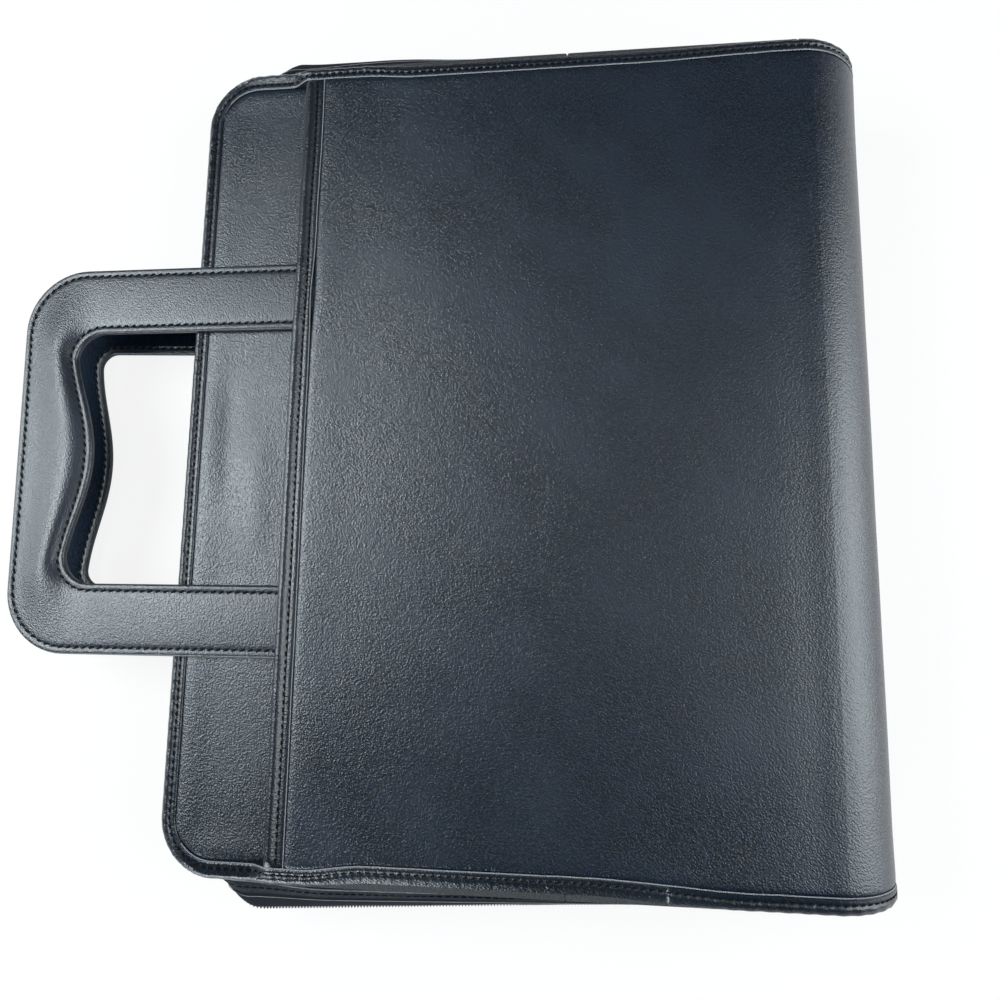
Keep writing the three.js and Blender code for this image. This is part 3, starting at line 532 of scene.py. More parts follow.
def finish(bm, name, look, body=None, slot=None, replaces=(), blend=None, sharp=0.7,
           flip_check=True):
    """Turns the mesh into a named piece with its material, its body and what it stands for."""
    bmesh.ops.remove_doubles(bm, verts=bm.verts[:], dist=1e-8)
    if flip_check:
        bmesh.ops.recalc_face_normals(bm, faces=bm.faces[:])
    for face in bm.faces:
        face.smooth = True
    for edge in bm.edges:
        edge.smooth = len(edge.link_faces) == 2 and edge.calc_face_angle(0) < sharp
    mesh = bpy.data.meshes.new(name)
    bm.to_mesh(mesh)
    bm.free()
    piece = bpy.data.objects.new(name, mesh)
    bpy.context.scene.collection.objects.link(piece)
    mesh.materials.append(material(look))
    if blend:
        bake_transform(piece)
    else:
        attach(piece, body)
    if replaces:
        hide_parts(*replaces)
    return piece


def built(build, *options):
    """A new mesh with that builder's shape in it."""
    bm = bmesh.new()
    build(bm, *options)
    return bm


def remade(node, name, look, body, slot, bevel=0.25, segments=2):
    """A CAD node's own form with its doubles merged and its edges rounded."""
    bm = bmesh.new()
    bm.from_mesh(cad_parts[node].data)
    bmesh.ops.remove_doubles(bm, verts=bm.verts[:], dist=1e-6)
    bmesh.ops.dissolve_limit(bm, angle_limit=0.02, verts=bm.verts[:], edges=bm.edges[:])
    sharp = [edge for edge in bm.edges if edge.is_manifold and edge.calc_face_angle(0) > 0.6]
    bmesh.ops.bevel(bm, geom=sharp, offset=bevel * MM, segments=segments, profile=0.5,
                    affect="EDGES", material=-1, clamp_overlap=True)
    return finish(bm, name, look, body, slot, (node,), sharp=0.9, flip_check=False)


def plated(node, body, bevel, segments=2):
    """A metal part in its CAD node's own form."""
    remade(node, node + "_plated", "metal", body, "metal", bevel, segments)


# The length of the covering that bends between the spine and the front cover
HINGE = ("back", "front_cover", wrap(HINGE_SPINE, 0), wrap(HINGE_FRONT, 0))


def run_pieces(build, base, look, slot, replaces):
    """One continuous covering in three lengths: front cover, bend at the hinge, spine and back."""
    front_nodes, back_nodes = replaces
    lengths = (
        ("front", 0.0, HINGE_FRONT, "front_cover", front_nodes),
        ("hinge", HINGE_FRONT, HINGE_SPINE, None, ()),
        ("spine_back", HINGE_SPINE, TOTAL, "back", back_nodes),
    )
    for part, start, stop, body, nodes in lengths:
        blend = None if body else HINGE
        finish(built(build, start, stop), f"{part}_{base}", look, body, slot, nodes, blend)


# Cover leather


def from_opening(s):
    """Distance from the nearer opening edge."""
    return min(s, TOTAL - s)


def at_opening(e, front):
    """The place at that distance from the front or the back cover's opening edge."""
    return e if front else TOTAL - e


def half_width(s, inset):
    """Half the width of the cover at s, inside a margin, with its rounded corners."""
    e = from_opening(s) - inset
    radius = CORNER - inset
    reach = max(0.0, radius - max(0.0, e))
    return HALF - inset - (radius - math.sqrt(max(0.0, radius**2 - reach**2)))


def seam_dip(distance, drop, width):
    """How the leather is drawn down beside a seam."""
    return -drop * math.exp(-max(0.0, distance) / width)


# By how much the binding widens, and from where to where along the lower and the upper edge
WIDENED_LOWER = (2.5, 60, 168)
WIDENED_UPPER = (1.5, 70, 190)


def widened(s, y):
    """How much further the front cover's binding laps over the panel, mid-length."""
    if s > FRONT_END:
        return 0.0
    most, start, stop = WIDENED_LOWER if y < 0 else WIDENED_UPPER
    return most * smooth((s - start) / 25) * (1 - smooth((s - stop) / 60))


def panel_edge(s, y):
    return HALF - BINDING_WIDTH - widened(s, y)


def mouth_lean(y):
    """The front pocket's mouth runs a little askew towards its upper end."""
    return 1.2 * smooth(y / HALF)


def panel_height(s, y):
    """The padded main panel, which dives under the binding and the pocket mouth."""
    edge = panel_edge(s, y) - abs(y)
    mouth = from_opening(s) - PANEL_START - (mouth_lean(y) if s < FRONT_END else 0.0)
    lifted = math.exp(-(((y - GAPE_Y) / 14) ** 2)) if s < FRONT_END else 0.0
    puff = 0.28 * math.exp(-((edge / 11) ** 2))
    puff += (0.35 + 0.3 * lifted) * math.exp(-((mouth / 14) ** 2))
    sag = 0.30 * wave(s, y, 74, 3) + 0.10 * wave(s, y, 26, 8)
    settled = smooth(min(edge, mouth) / 12)
    shoulder = -0.45 * math.exp(-(((s - FRONT_END + 2) / 8) ** 2))
    dips = seam_dip(edge, 0.95, 0.6) + seam_dip(mouth, 1.1 + lifted, 0.7 + 0.4 * lifted)
    return puff + shoulder + sag * settled + dips


def build_skin(bm, start, stop):
    start = max(start, PANEL_START)
    stop = min(stop, TOTAL - PANEL_START)
    along = graded(start, stop, 2.6, start == PANEL_START, stop == TOTAL - PANEL_START)
    across = graded(-HALF + BINDING_WIDTH, HALF - BINDING_WIDTH, 2.8)

    def surface(s, across_it):
        y = across_it * panel_edge(s, across_it) / (HALF - BINDING_WIDTH)
        return wrap(s, y, panel_height(s, y))

    laid(bm, along, across, surface, SKIN_THICKNESS)


# Slack places of the front strip: distance from the opening edge, half width, lower and upper end,
# depth
DENTS = ((19, 5, -30, 40, 0.5), (33, 6, -52, 20, -0.35), (27, 4, 95, 130, 0.2))


def strip_height(e, y, edge, front):
    """The sewn strip between the binding and the pocket mouth."""
    dents = 0.0
    if front:
        for centre, span, low, high, depth in DENTS:
            dents -= depth * math.exp(-(((e - centre + (y - low) * 0.03) / span) ** 2)) * smooth(
                (y - low) / 25) * smooth((high - y) / 25)
    edge = min(edge, e - BINDING_WIDTH)
    puff = 0.35 * math.exp(-(((edge - 4) / 6) ** 2))
    tilt = -0.3 * (1 - e / 46)
    return -STRIP_DEPTH + tilt + puff + dents + 0.16 * wave(e, y, 34, 5) + seam_dip(edge, 0.8, 0.5)


def build_strip(bm, front):
    along = graded(BINDING_WIDTH, MOUTH + 6, 1.4, True, False) + even(MOUTH + 6, POCKET_END, 6)[1:]
    lines = [math.sin(math.pi / 2 * v) * 0.35 + v * 0.65 for v in even(-1, 1, 2 / 150)]

    def surface(e, v):
        half = half_width(e, BINDING_WIDTH)
        y = half * v
        h = strip_height(e, y, half - abs(y), front)
        return wrap(at_opening(e, front), y if front else -y, h)

    laid(bm, along, lines, surface, STRIP_THICKNESS)


# Binding


def top_depth(e):
    """How far the covered edge lies under the main panel's face."""
    return STRIP_DEPTH * (1 - smooth((e - 38.0) / 9.5))


# Section of the binding: distance in from the cover's edge, and height over the outer or inner face
OUTER_FACE = (
    (6.2, -0.8), (6.1, -0.2), (5.75, 0.1), (5.3, 0.17), (4.8, 0.13), (4.3, 0.02), (4.0, -0.18),
    (3.75, -0.30), (3.5, -0.10), (3.2, 0.12), (2.6, 0.20), (1.9, 0.06), (1.2, -0.32), (0.65, -0.90),
    (0.25, -1.55), (0.0, -2.25), (-0.15, -3.0))
INNER_FACE = (
    (-0.15, 2.9), (-0.02, 1.7), (0.2, 0.7), (0.7, 0.1), (1.4, -0.16), (2.2, -0.16), (3.0, 0.05),
    (3.45, 0.3), (3.9, 0.02), (4.8, -0.1), (5.6, -0.06), (6.0, 0.25))
EDGE_STEP = 0.78
CORNER_STEPS = 36
# Sides of the thin pale lines at cut and folded edges; along the binding's upper and lower edges
# the line is partly a painted highlight
LINE_SIDES = 6
LAP_START = 197.0
LAP_STEP = 0.4
LAP_RISE = 0.45
THREAD_INSET = 3.75
INNER_THREAD_INSET = 3.45


def gather(t):
    """The small puckers of a strip sewn round an edge."""
    return 0.12 * math.sin(t * 2 * math.pi / 6.3 + 1.4 * math.sin(t / 23)) + 0.16 * wave(t, 0, 9, 2)


def edge_stations(start, stop, sign=0):
    """Stations (s, y, outward s, outward y) along the covers' edge."""
    if sign:
        return [(s, sign * HALF, 0.0, float(sign)) for s in even(start, stop, EDGE_STEP)]
    near_front = start < FRONT_END
    reach = stop if near_front else TOTAL - start
    straight = even(reach, LAP_START + 2, EDGE_STEP)
    straight += even(LAP_START + 2, LAP_START - 2, LAP_STEP)[1:]
    straight += even(LAP_START - 2, CORNER, EDGE_STEP)[1:]
    flat = [(e, -HALF, 0.0, -1.0) for e in straight]
    corner = []
    for i in range(1, CORNER_STEPS + 1):
        angle = math.pi / 2 * i / CORNER_STEPS
        n = (-math.sin(angle), -math.cos(angle))
        corner.append((CORNER + CORNER * n[0], -HALF + CORNER + CORNER * n[1], *n))
    side = [(0.0, y, -1.0, 0.0) for y in even(-HALF + CORNER, 0, EDGE_STEP)[1:]]
    lower = flat + corner + side
    upper = [(e, -y, ne, -ny) for e, y, ne, ny in reversed(lower[:-1])]
    ring = lower + upper
    if near_front:
        return ring
    return [(TOTAL - e, y, -ne, ny) for e, y, ne, ny in ring]


def lapped(s, y):
    """Where the binding's end lies over its start, on the lower edge."""
    return smooth((s - LAP_START) / 0.8) if y < 0 and s < BACK_START - 30 else 0.0


def edge_runs(start, stop):
    """The edge's two short lengths at the hinge, or its one length round a cover."""
    if start == HINGE_FRONT:
        return [edge_stations(start, stop, sign) for sign in (-1, 1)]
    return [edge_stations(start, stop)]


def binding_run(bm, stations):
    """The folded strip round the edge, drawn in at each stitch and wider where it laps further."""
    inner = STACK - 0.9
    pitch = stitch_pitch()
    passed = [0.0]
    for before, after in zip(stations, stations[1:]):
        passed.append(passed[-1] + math.hypot(after[0] - before[0], after[1] - before[1]))

    def place(i, j):
        s, y, ns, ny = stations[i]
        drawn = 0.5 + 0.5 * math.cos(2 * math.pi * passed[i] / pitch)
        e = from_opening(s)
        top = top_depth(e)
        lap = lapped(s, y)
        pucker = gather(s + y + 400 * ny)
        wider = widened(s, y)
        sag = 0.62 * wider
        pucker *= 1 - 0.75 * min(1.0, wider / 1.5)
        if j < len(OUTER_FACE):
            inset, h = OUTER_FACE[j]
            roll = math.exp(-(((inset - 1.6) / 1.3) ** 2))
            raised = top / STRIP_DEPTH * (0.6 + 2.1 * abs(ny) * smooth(e / 30))
            raised *= smooth((3.4 - inset) / 1.2)
            held = math.exp(-(((inset - 3.6) / 0.9) ** 2)) * (0.10 - 0.26 * drawn)
            h = h - top + raised + pucker * roll + held
            h += LAP_RISE * lap * min(1.0, max(0.0, (5.6 - inset) * 4))
            inset -= 0.35 * lap * (inset < 1) + pucker * 0.6 * (inset < 1)
            if j == 0 and e < PANEL_START:
                h = -STRIP_DEPTH - 0.8
            h -= sag * smooth((4.2 - inset) / 3.2)
            inset += wider * min(1.0, max(0.0, inset - 1.0) / 2.6)
        elif j < len(OUTER_FACE) + len(INNER_FACE):
            inset, h = INNER_FACE[j - len(OUTER_FACE)]
            h = h - STACK
            inset -= pucker * 0.4 * (inset < 1)
        else:
            corners = ((6.0, -inner), (1.3, -inner), (1.3, -top - 1.1 - sag), (6.2, -top - 1.1))
            inset, h = corners[j - len(OUTER_FACE) - len(INNER_FACE)]
            if inset > 6.1:
                inset += wider
                h = -STRIP_DEPTH - 1.1 if e < PANEL_START else h
        return wrap(s - ns * inset, y - ny * inset, h)

    swept(bm, len(stations), len(OUTER_FACE) + len(INNER_FACE) + 4, place)


def build_binding(bm, start, stop):
    for stations in edge_runs(start, stop):
        binding_run(bm, stations)


def build_raw_edge_and_glint(bm, start, stop):
    """The cut edge of the binding's cloth backing as a pale line beside the panels, laid only along
    the upper and lower edges: partly the backing's own pale colour, partly a painted highlight
    where light catches those edges.
    """
    runs = edge_runs(start, stop)
    if start != HINGE_FRONT:
        # Only the upper and lower lengths keep the line, where it is partly a painted highlight on
        # the edge
        runs = [[station for station in runs[0] if station[3] * sign > 0.6] for sign in (-1, 1)]
    for stations in runs:

        def place(i, j, stations=stations):
            s, y, ns, ny = stations[i]
            turn = j / LINE_SIDES * 2 * math.pi
            inset = 6.15 + widened(s, y) + 0.24 * math.cos(turn) + 0.12 * wave(s, ny, 11, 4)
            h = 0.16 + 0.22 * math.sin(turn) - top_depth(from_opening(s)) + 0.06 * wave(s, ny, 6, 7)
            return wrap(s - ns * inset, y - ny * inset, h)

        swept(bm, len(stations), LINE_SIDES, place)


def build_binding_thread(bm, start, stop):
    for stations in edge_runs(start, stop):
        for outer in (True, False):
            places = []
            for s, y, ns, ny in stations:
                inset = THREAD_INSET + widened(s, y) if outer else INNER_THREAD_INSET
                h = -STACK + 0.1
                if outer:
                    h = -top_depth(from_opening(s)) - 0.1 + LAP_RISE * lapped(s, y)
                places.append((s - ns * inset, y - ny * inset, h))
            cover_stitches(bm, places, 1 if outer else -1, length=2.1, radius=0.34, slant=0.24)


# Pocket mouth


# Points round the section of the rolled mouth
MOUTH_POINTS = 21


def mouth_gape(y, front):
    """How far the front pocket's mouth is pulled open."""
    return math.exp(-(((y - GAPE_Y) / 15) ** 2)) * front


def mouth_shift(y, front):
    """How far the mouth strays from its straight line."""
    return 0.22 * wave(y, 7, 30, 6) + mouth_lean(y) * front


def build_mouth(bm, front):
    bead = 1.45 if front else 0.35
    ys = even(-HALF + 4.2, HALF - 4.2, 1.6)

    def place(i, j):
        y = ys[i]
        arm = max(smooth((15.5 - abs(y - middle)) / 2) for middle in ARM_MIDDLES)
        lip = mix(4.35, 1.4, arm)
        swell = bead * (1 + 0.10 * wave(y, 3, 8, 4)) + 0.25 * arm * front
        near = smooth((HALF - 5.6 - abs(y)) / 3)
        gape = mouth_gape(y, front)
        profile = (
            (53.2 - 0.9 * gape, -1.0), (53.1 - 0.9 * gape, -0.2), (52.6 - 0.9 * gape, 0.14),
            (51.8 - 0.4 * gape, 0.2), (50.9, 0.12), (50.45, -0.05), (50.15, -0.3), (49.9, -0.1),
            (49.6, 0.2 * swell), (49.0, 0.75 * swell), (48.2, 1.1 * swell), (47.3, 1.2 * swell),
            (46.4, 1.02 * swell), (45.7, 0.6 * swell), (45.3, 0.0), (45.2, -0.7), (45.4, -1.3),
            (45.6, -lip), (47.2, -lip), (47.4, -1.3), (52.8, -1.3))
        e, h = profile[j]
        e += mouth_shift(y, front)
        h = mix(-0.5, h, near) if h > -0.5 else h
        return wrap(at_opening(e, front), y, h)

    swept(bm, len(ys), MOUTH_POINTS, place)


def build_mouth_edge(bm, front):
    """The pale cut edge of the pocket mouth's binding."""
    ys = even(-HALF + 5.9, HALF - 5.9, 1.6)

    def place(i, j):
        y = ys[i]
        turn = j / LINE_SIDES * 2 * math.pi
        e = 53.18 - 0.9 * mouth_gape(y, front) + 0.2 * math.cos(turn) + mouth_shift(y, front)
        h = 0.14 + 0.2 * math.sin(turn) + 0.05 * wave(y, 5, 6, 3)
        return wrap(at_opening(e, front), y, h)

    swept(bm, len(ys), LINE_SIDES, place)


def build_mouth_thread(bm, front):
    places = [(at_opening(50.15 + mouth_shift(y, front), front), y)
              for y in even(-HALF + 7.5, HALF - 7.5, 3)]
    cover_stitches(bm, places, length=2.1, radius=0.34, slant=0.2)


# Handles


def handle_stations(name):
    """Matching outer and inner edge places, from the upper arm's end round to the lower one's."""
    reach, skew, _, grip_width, grip_swell, inner_radius = HANDLES[name]
    middle = (HANDLE_TOP + HANDLE_BOTTOM) / 2
    half = (HANDLE_TOP - HANDLE_BOTTOM) / 2

    def outer_x(y):
        return -reach - skew * (y - middle) / half

    def inner_x(y):
        swell = 0.5 + 0.5 * math.cos(min(abs(y - middle) / GRIP_SWELL_LENGTH, 0.5) * 2 * math.pi)
        return outer_x(y) + grip_width + grip_swell * swell

    def corner(sign):
        turned = []
        for i in range(15):
            angle = math.pi / 2 * i / 14
            back, up = 1 - math.sin(angle), math.cos(angle)
            outer_y = middle + sign * (half - OUTER_RADIUS)
            inner_y = middle + sign * (half - ARM_WIDTH - inner_radius)
            turned.append((
                (outer_x(outer_y) + OUTER_RADIUS * back, outer_y + sign * OUTER_RADIUS * up),
                (inner_x(inner_y) + inner_radius * back, inner_y + sign * inner_radius * up),
                math.sin(angle) ** 2))
        return turned

    def arm(bend, y, sign):
        (outer, _), (inner, _), _ = bend
        return [((mix(ARM_END, outer, t), y), (mix(ARM_END, inner, t), y - sign * ARM_WIDTH), 0.0)
                for t in even(0, 1, 0.028)[:-1]]

    upper = corner(1)
    lower = corner(-1)[::-1]
    grip = []
    for t in even(0, 1, 0.022)[1:-1]:
        outer_y = mix(upper[-1][0][1], lower[0][0][1], t)
        inner_y = mix(upper[-1][1][1], lower[0][1][1], t)
        grip.append(((outer_x(outer_y), outer_y), (inner_x(inner_y), inner_y), 1.0))
    upper_arm = arm(upper[0], HANDLE_TOP, 1)
    lower_arm = arm(lower[-1], HANDLE_BOTTOM, -1)[::-1]
    return upper_arm + upper + grip + lower + lower_arm


def handle_section(width, dome, lean=1.0):
    """(distance from the outer edge, depth) round the padded section."""
    top, bottom = 1.45, 4.3
    rim = [(0.0, 2.9), (0.05, 2.2), (0.35, 1.6), (0.9, 1.34), (1.6, 1.3), (2.3, 1.38), (2.75, 1.55),
           (3.05, 1.68), (3.4, 1.52)]
    crown = []
    for i in range(1, 16):
        t = i / 16
        bulge = math.sin(math.pi * t ** lean)
        rise = (0.35 + dome) * bulge ** 0.9 if dome else 0.35 * bulge ** 0.5
        crown.append((mix(3.4, width - 3.4, t), top - rise))
    under = [(0.08, 3.7), (0.5, bottom - 0.08), (1.4, bottom), (2.6, bottom - 0.05),
             (3.0, bottom - 0.3), (3.5, bottom - 0.05), (6, bottom)]

    def reflected_glow(side):
        return [(width - d, depth) for d, depth in reversed(side)]

    return rim + crown + reflected_glow(rim) + (under + reflected_glow(under))[::-1]


def station_width(station):
    """From the handle's outer edge to its inner one."""
    return math.dist(station[0], station[1])


def handle_point(station, distance, depth, front):
    """The place (s, y, h) at a distance from the handle's outer edge."""
    (ox, oy), (ix, iy), _ = station
    t = distance / station_width(station)
    return at_opening(mix(ox, ix, t), front), mix(oy, iy, t), -depth


def build_handle(bm, name):
    dome = HANDLES[name][2]
    front = name == "front_handle"
    stations = handle_stations(name)

    def place(i, j):
        swell = stations[i][2]
        section = handle_section(station_width(stations[i]), dome * swell, 1 + 1.1 * swell)
        return wrap(*handle_point(stations[i], *section[j], front))

    swept(bm, len(stations), len(handle_section(ARM_WIDTH, 1)), place)


def build_handle_shade_sheet(bm, name):
    """A dull, nearly glossless leather sheet on the side that faces the other handle: painted shade
    where the two handles lie one over the other.
    """
    front = name == "front_handle"
    stations = handle_stations(name)

    def surface(i, t):
        distance = mix(SHADE_SHEET_INSET, station_width(stations[i]) - SHADE_SHEET_INSET, t)
        return wrap(*handle_point(stations[i], distance, SHADE_SHEET_DEPTH, front))

    across = even(0, 1, 0.125) if front else even(1, 0, 0.125)
    laid(bm, range(len(stations)), across, surface, SHADE_SHEET_THICKNESS)


def build_handle_thread(bm, name):
    front = name == "front_handle"
    stations = handle_stations(name)
    for from_outer in (True, False):
        for depth, way in ((1.52, 1), (4.12, -1)):
            places = []
            for station in stations:
                far = station_width(station) - HANDLE_THREAD_INSET
                distance = HANDLE_THREAD_INSET if from_outer else far
                places.append(handle_point(station, distance, depth, front))
            cover_stitches(bm, places, way, slant=0.42, radius=0.52, length=2.6, pitch=3.4)


# Zip, gusset


def chain_height(x):
    """Half way between the covers."""
    return (x + WEDGE_APEX) * math.tan(TILT / 2)


def upper_run(x):
    """The zip's upper run: the slider's straight line, tucked in near the opening edge."""
    t = (SLIDE_START[0] - x) / (SLIDE_START[0] - SLIDE_END[0])
    return mix(SLIDE_START[1], SLIDE_END[1], t) - SLIDE_TUCK * smooth((95 - x) / 55)


def zip_stations():
    """Along the zip: its place, the matching place on the cover's edge, and the way out."""
    start_y, corner_y = HALF + ZIP_BULGE_END, HALF + ZIP_BULGE
    turn_x = ZIP_SETBACK + ZIP_RADIUS
    edge_radius = CORNER - EDGE_INSET
    lower = []
    for t in even(0, 1, 0.02):
        edge_x = mix(ZIP_END, CORNER, t)
        inset = mix(3, EDGE_INSET, smooth((60 - edge_x) / 37.5))
        lower.append(((mix(ZIP_END, turn_x, t), -mix(start_y, corner_y, t)),
                      (edge_x, inset - HALF), (0.0, -1.0)))
    for i in range(1, 17):
        angle = 1.5 * math.pi - math.pi / 2 * i / 16
        out = (math.cos(angle), math.sin(angle))
        lower.append(((turn_x + ZIP_RADIUS * out[0], -corner_y + ZIP_RADIUS * (1 + out[1])),
                      (CORNER + edge_radius * out[0], -HALF + CORNER + edge_radius * out[1]), out))
    (last_x, last_y), (edge_x, edge_y), _ = lower[-1]
    for t in even(1, 0, 1 / 40)[1:]:
        lower.append(((last_x, last_y * t), (edge_x, edge_y * t), (-1.0, 0.0)))
    upper = []
    for (x, y), edge, out in reversed(lower[:-1]):
        tucked = upper_run(x) if out == (0.0, -1.0) else -y * upper_run(turn_x) / corner_y
        upper.append(((x, tucked), (edge[0], -edge[1]), (out[0], -out[1])))
    return lower + upper


# Shares of the way from the zip (0) to the cover's edge (1), with a thickness or a radius
GUSSET_SEAM = 0.58
FACING = (even(0.5, 1.0, 0.06), 1.0)
TAPE = ([-1.0, -0.5, 0.0] + even(0.06, 0.52, 0.06), 0.7)
RAW_EDGE = (0.68, 0.42)
TAPE_FOLD = (0.43, 0.16)


def gusset_point(station, side, share, offset):
    """A point of the gusset: share 0 at the zip and 1 at the cover's edge, offset out from it."""
    (zx, zy), (ex, ey), out = station
    depth = STACK + 0.8
    edge_z = depth
    edge_x = ex
    if side < 0:
        edge_x = ex * math.cos(TILT) + depth * math.sin(TILT)
        edge_z = EDGE_THICKNESS + ex * math.sin(TILT) - depth * math.cos(TILT)
    rise = -side
    row_end = chain_height(zx) + rise * (ROW_GAP / 2 + ROW_HEIGHT + 0.3)
    arch_z = row_end + rise * 2
    if share < 0:
        return Vector((zx + out[0] * offset, zy + out[1] * offset, mix(arch_z, row_end, -share)))
    reach = (edge_x - zx, ey - zy)
    outward = reach[0] * out[0] + reach[1] * out[1]
    drop = edge_z - arch_z
    angle = share * math.pi / 2
    along = 1 - math.cos(angle)
    slope = (outward * math.sin(angle), abs(drop) * math.cos(angle) + 0.05)
    length = math.hypot(*slope)
    off_out, off_up = slope[1] / length, -rise * slope[0] / length
    return Vector((zx + reach[0] * along + out[0] * off_out * offset,
                   zy + reach[1] * along + out[1] * off_out * offset,
                   arch_z + drop * math.sin(angle) + off_up * offset))


def build_gusset(bm, side, shares, thickness):
    """A folded sheet between two shares of the way from the zip to the cover."""
    stations = zip_stations()
    count = len(shares)

    def place(i, j):
        ripple = 0.25 * wave(i, j % count, 5, side)
        share, way = (shares[j], 1) if j < count else (shares[2 * count - 1 - j], -1)
        return place_mm(*gusset_point(stations[i], side, share, way * thickness / 2 + ripple))

    swept(bm, len(stations), 2 * count, place)


def build_gusset_thread(bm, side):
    stations = zip_stations()
    points = [place_mm(*gusset_point(station, side, GUSSET_SEAM, 0.6)) for station in stations]
    beside = [place_mm(*gusset_point(station, side, GUSSET_SEAM, 1.6)) for station in stations]
    normals = [(b - a).normalized() for a, b in zip(points, beside)]
    stitches(bm, points, normals, slant=0.0, radius=0.22)


def build_gusset_edge(bm, side, share, radius):
    """A thin line along the gusset: a cut or folded edge."""
    stations = zip_stations()

    def place(i, j):
        turn = j / LINE_SIDES * 2 * math.pi
        return place_mm(*gusset_point(stations[i], side, share + radius * 0.03 * math.cos(turn),
                                      0.68 + radius * math.sin(turn)))

    swept(bm, len(stations), LINE_SIDES, place)


def build_teeth(bm, side):
    """One row of coil teeth, each half a pitch from its neighbour across the chain."""
    stations = zip_stations()
    points = [Vector((*a, chain_height(a[0]))) for a, _, _ in stations]
    outs = [Vector((*o, 0.0)) for _, _, o in stations]
    passed, index = 0.0, 0
    total = sum((b - a).length for a, b in zip(points, points[1:]))
    target = TOOTH_PITCH * (0.5 if side > 0 else 1.0)
    while target < total:
        while passed + (points[index + 1] - points[index]).length < target:
            passed += (points[index + 1] - points[index]).length
            index += 1
        run = points[index + 1] - points[index]
        at = points[index].lerp(points[index + 1], (target - passed) / run.length)
        run.normalize()
        out = outs[index].lerp(outs[index + 1], 0.5).normalized()
        up = run.cross(out).normalized()
        up = up if up.z > 0 else -up
        out = up.cross(run).normalized()
        centre = at - up * side * (ROW_GAP / 2 + ROW_HEIGHT / 2 - 0.35)
        centre += out * (0.95 if side < 0 else 0.2)
        turn = Matrix((run, out, up)).transposed().to_4x4()
        size = Matrix.Diagonal((0.36, 1.5, 1.35, 1))
        where = Matrix.Scale(MM, 4) @ Matrix.Translation(centre - Vector((ORIGIN_X, 0, 0)))
        TOOTH.press(bm, where @ turn @ size)
        target += TOOTH_PITCH


def run_frame(distance):
    """Axes on the zip's upper run: X towards the spine, Y out of the binder, Z up."""
    start = Vector((*SLIDE_START, chain_height(SLIDE_START[0])))
    end = Vector((*SLIDE_END, chain_height(SLIDE_END[0])))
    run = (end - start).normalized()
    x_axis = -run
    y_axis = Vector((0, 0, 1)).cross(x_axis).normalized()
    z_axis = x_axis.cross(y_axis)
    at = start + run * distance - Vector((ORIGIN_X, 0, 0))
    turn = Matrix((x_axis, y_axis, z_axis)).transposed().to_4x4()
    return Matrix.Scale(MM, 4) @ Matrix.Translation(at) @ turn


def block(bm, low, high, bevel, matrix):
    """A block between two corners with rounded edges."""
    verts = bmesh.ops.create_cube(bm, size=1.0)["verts"]
    size = [b - a for a, b in zip(low, high)]
    bmesh.ops.scale(bm, vec=size, verts=verts)
    bmesh.ops.translate(bm, vec=[(a + b) / 2 for a, b in zip(low, high)], verts=verts)
    edges = list({edge for vert in verts for edge in vert.link_edges})
    result = bmesh.ops.bevel(bm, geom=edges, offset=bevel, segments=3, profile=0.5,
                             affect="EDGES", material=-1)
    touched = {v for v in verts if v.is_valid} | {v for f in result["faces"] for v in f.verts}
    bmesh.ops.transform(bm, matrix=matrix, verts=list(touched))


def rod(bm, a, b, radius, matrix):
    """A round bar from a to b."""
    a, b = Vector(a), Vector(b)
    bar = bmesh.ops.create_cone(bm, cap_ends=True, segments=20, radius1=radius, radius2=radius,
                                depth=(b - a).length)
    turn = (b - a).to_track_quat("Z", "Y").to_matrix().to_4x4()
    place = matrix @ Matrix.Translation((a + b) / 2) @ turn
    bmesh.ops.transform(bm, matrix=place, verts=bar["verts"])


# Properties


def light_property(name, description, default):
    return bpy.props.FloatProperty(
        name=name, description=description, default=default, min=0.0, unit="POWER")


class BinderSizes(bpy.types.PropertyGroup):
    stitch_pitch: bpy.props.FloatProperty(
        name="Stitch pitch", description="Distance from one stitch to the next", default=0.0031,
        min=0.001, subtype="DISTANCE", unit="LENGTH")
    key_light: light_property("Key light", "Power of the light over the handles", 7.2)
    top_light: light_property("Top light", "Power of the long light overhead", 0.9)
    fill_light: light_property("Fill light", "Power of the low light beside the zip", 5.0)
    left_light: light_property("Handle light", "Power of the low light beyond the handles", 2.3)
    rim_light: light_property("Spine light", "Power of the light on the spine side", 5.9)


def colour_property(name, description, default):
    return bpy.props.FloatVectorProperty(
        name=name, description=description, default=default, size=3, min=0, max=1, subtype="COLOR")


class BinderColours(bpy.types.PropertyGroup):
    leather: colour_property("Leather", "Covers, spine and handles", (0.0022, 0.0085, 0.0200))
    binding: colour_property("Binding", "Edge binding and pocket mouth", (0.0030, 0.0078, 0.0160))
    # This pale colour also serves the binding's edge line, which is partly a painted highlight
    raw_edge: colour_property("Raw edge", "Cloth backing at cut edges", (0.30, 0.31, 0.33))
    thread: colour_property("Thread", "All stitching", (0.0030, 0.0038, 0.0055))
    lining: colour_property("Lining", "Cloth inside the covers", (0.0110, 0.0120, 0.0145))
    tape: colour_property("Zip tape", "Tape, elastic and handle stops", (0.0030, 0.0052, 0.0130))
    teeth: colour_property("Teeth", "Coil of the zip", (0.0120, 0.0140, 0.0180))
    metal: colour_property("Metal", "Rings, slider and pull", (0.70, 0.71, 0.73))
    board: colour_property("Board", "Stiffening boards", (0.16, 0.11, 0.065))
    foam: colour_property("Foam", "Padding under the leather", (0.045, 0.047, 0.052))


# Operators


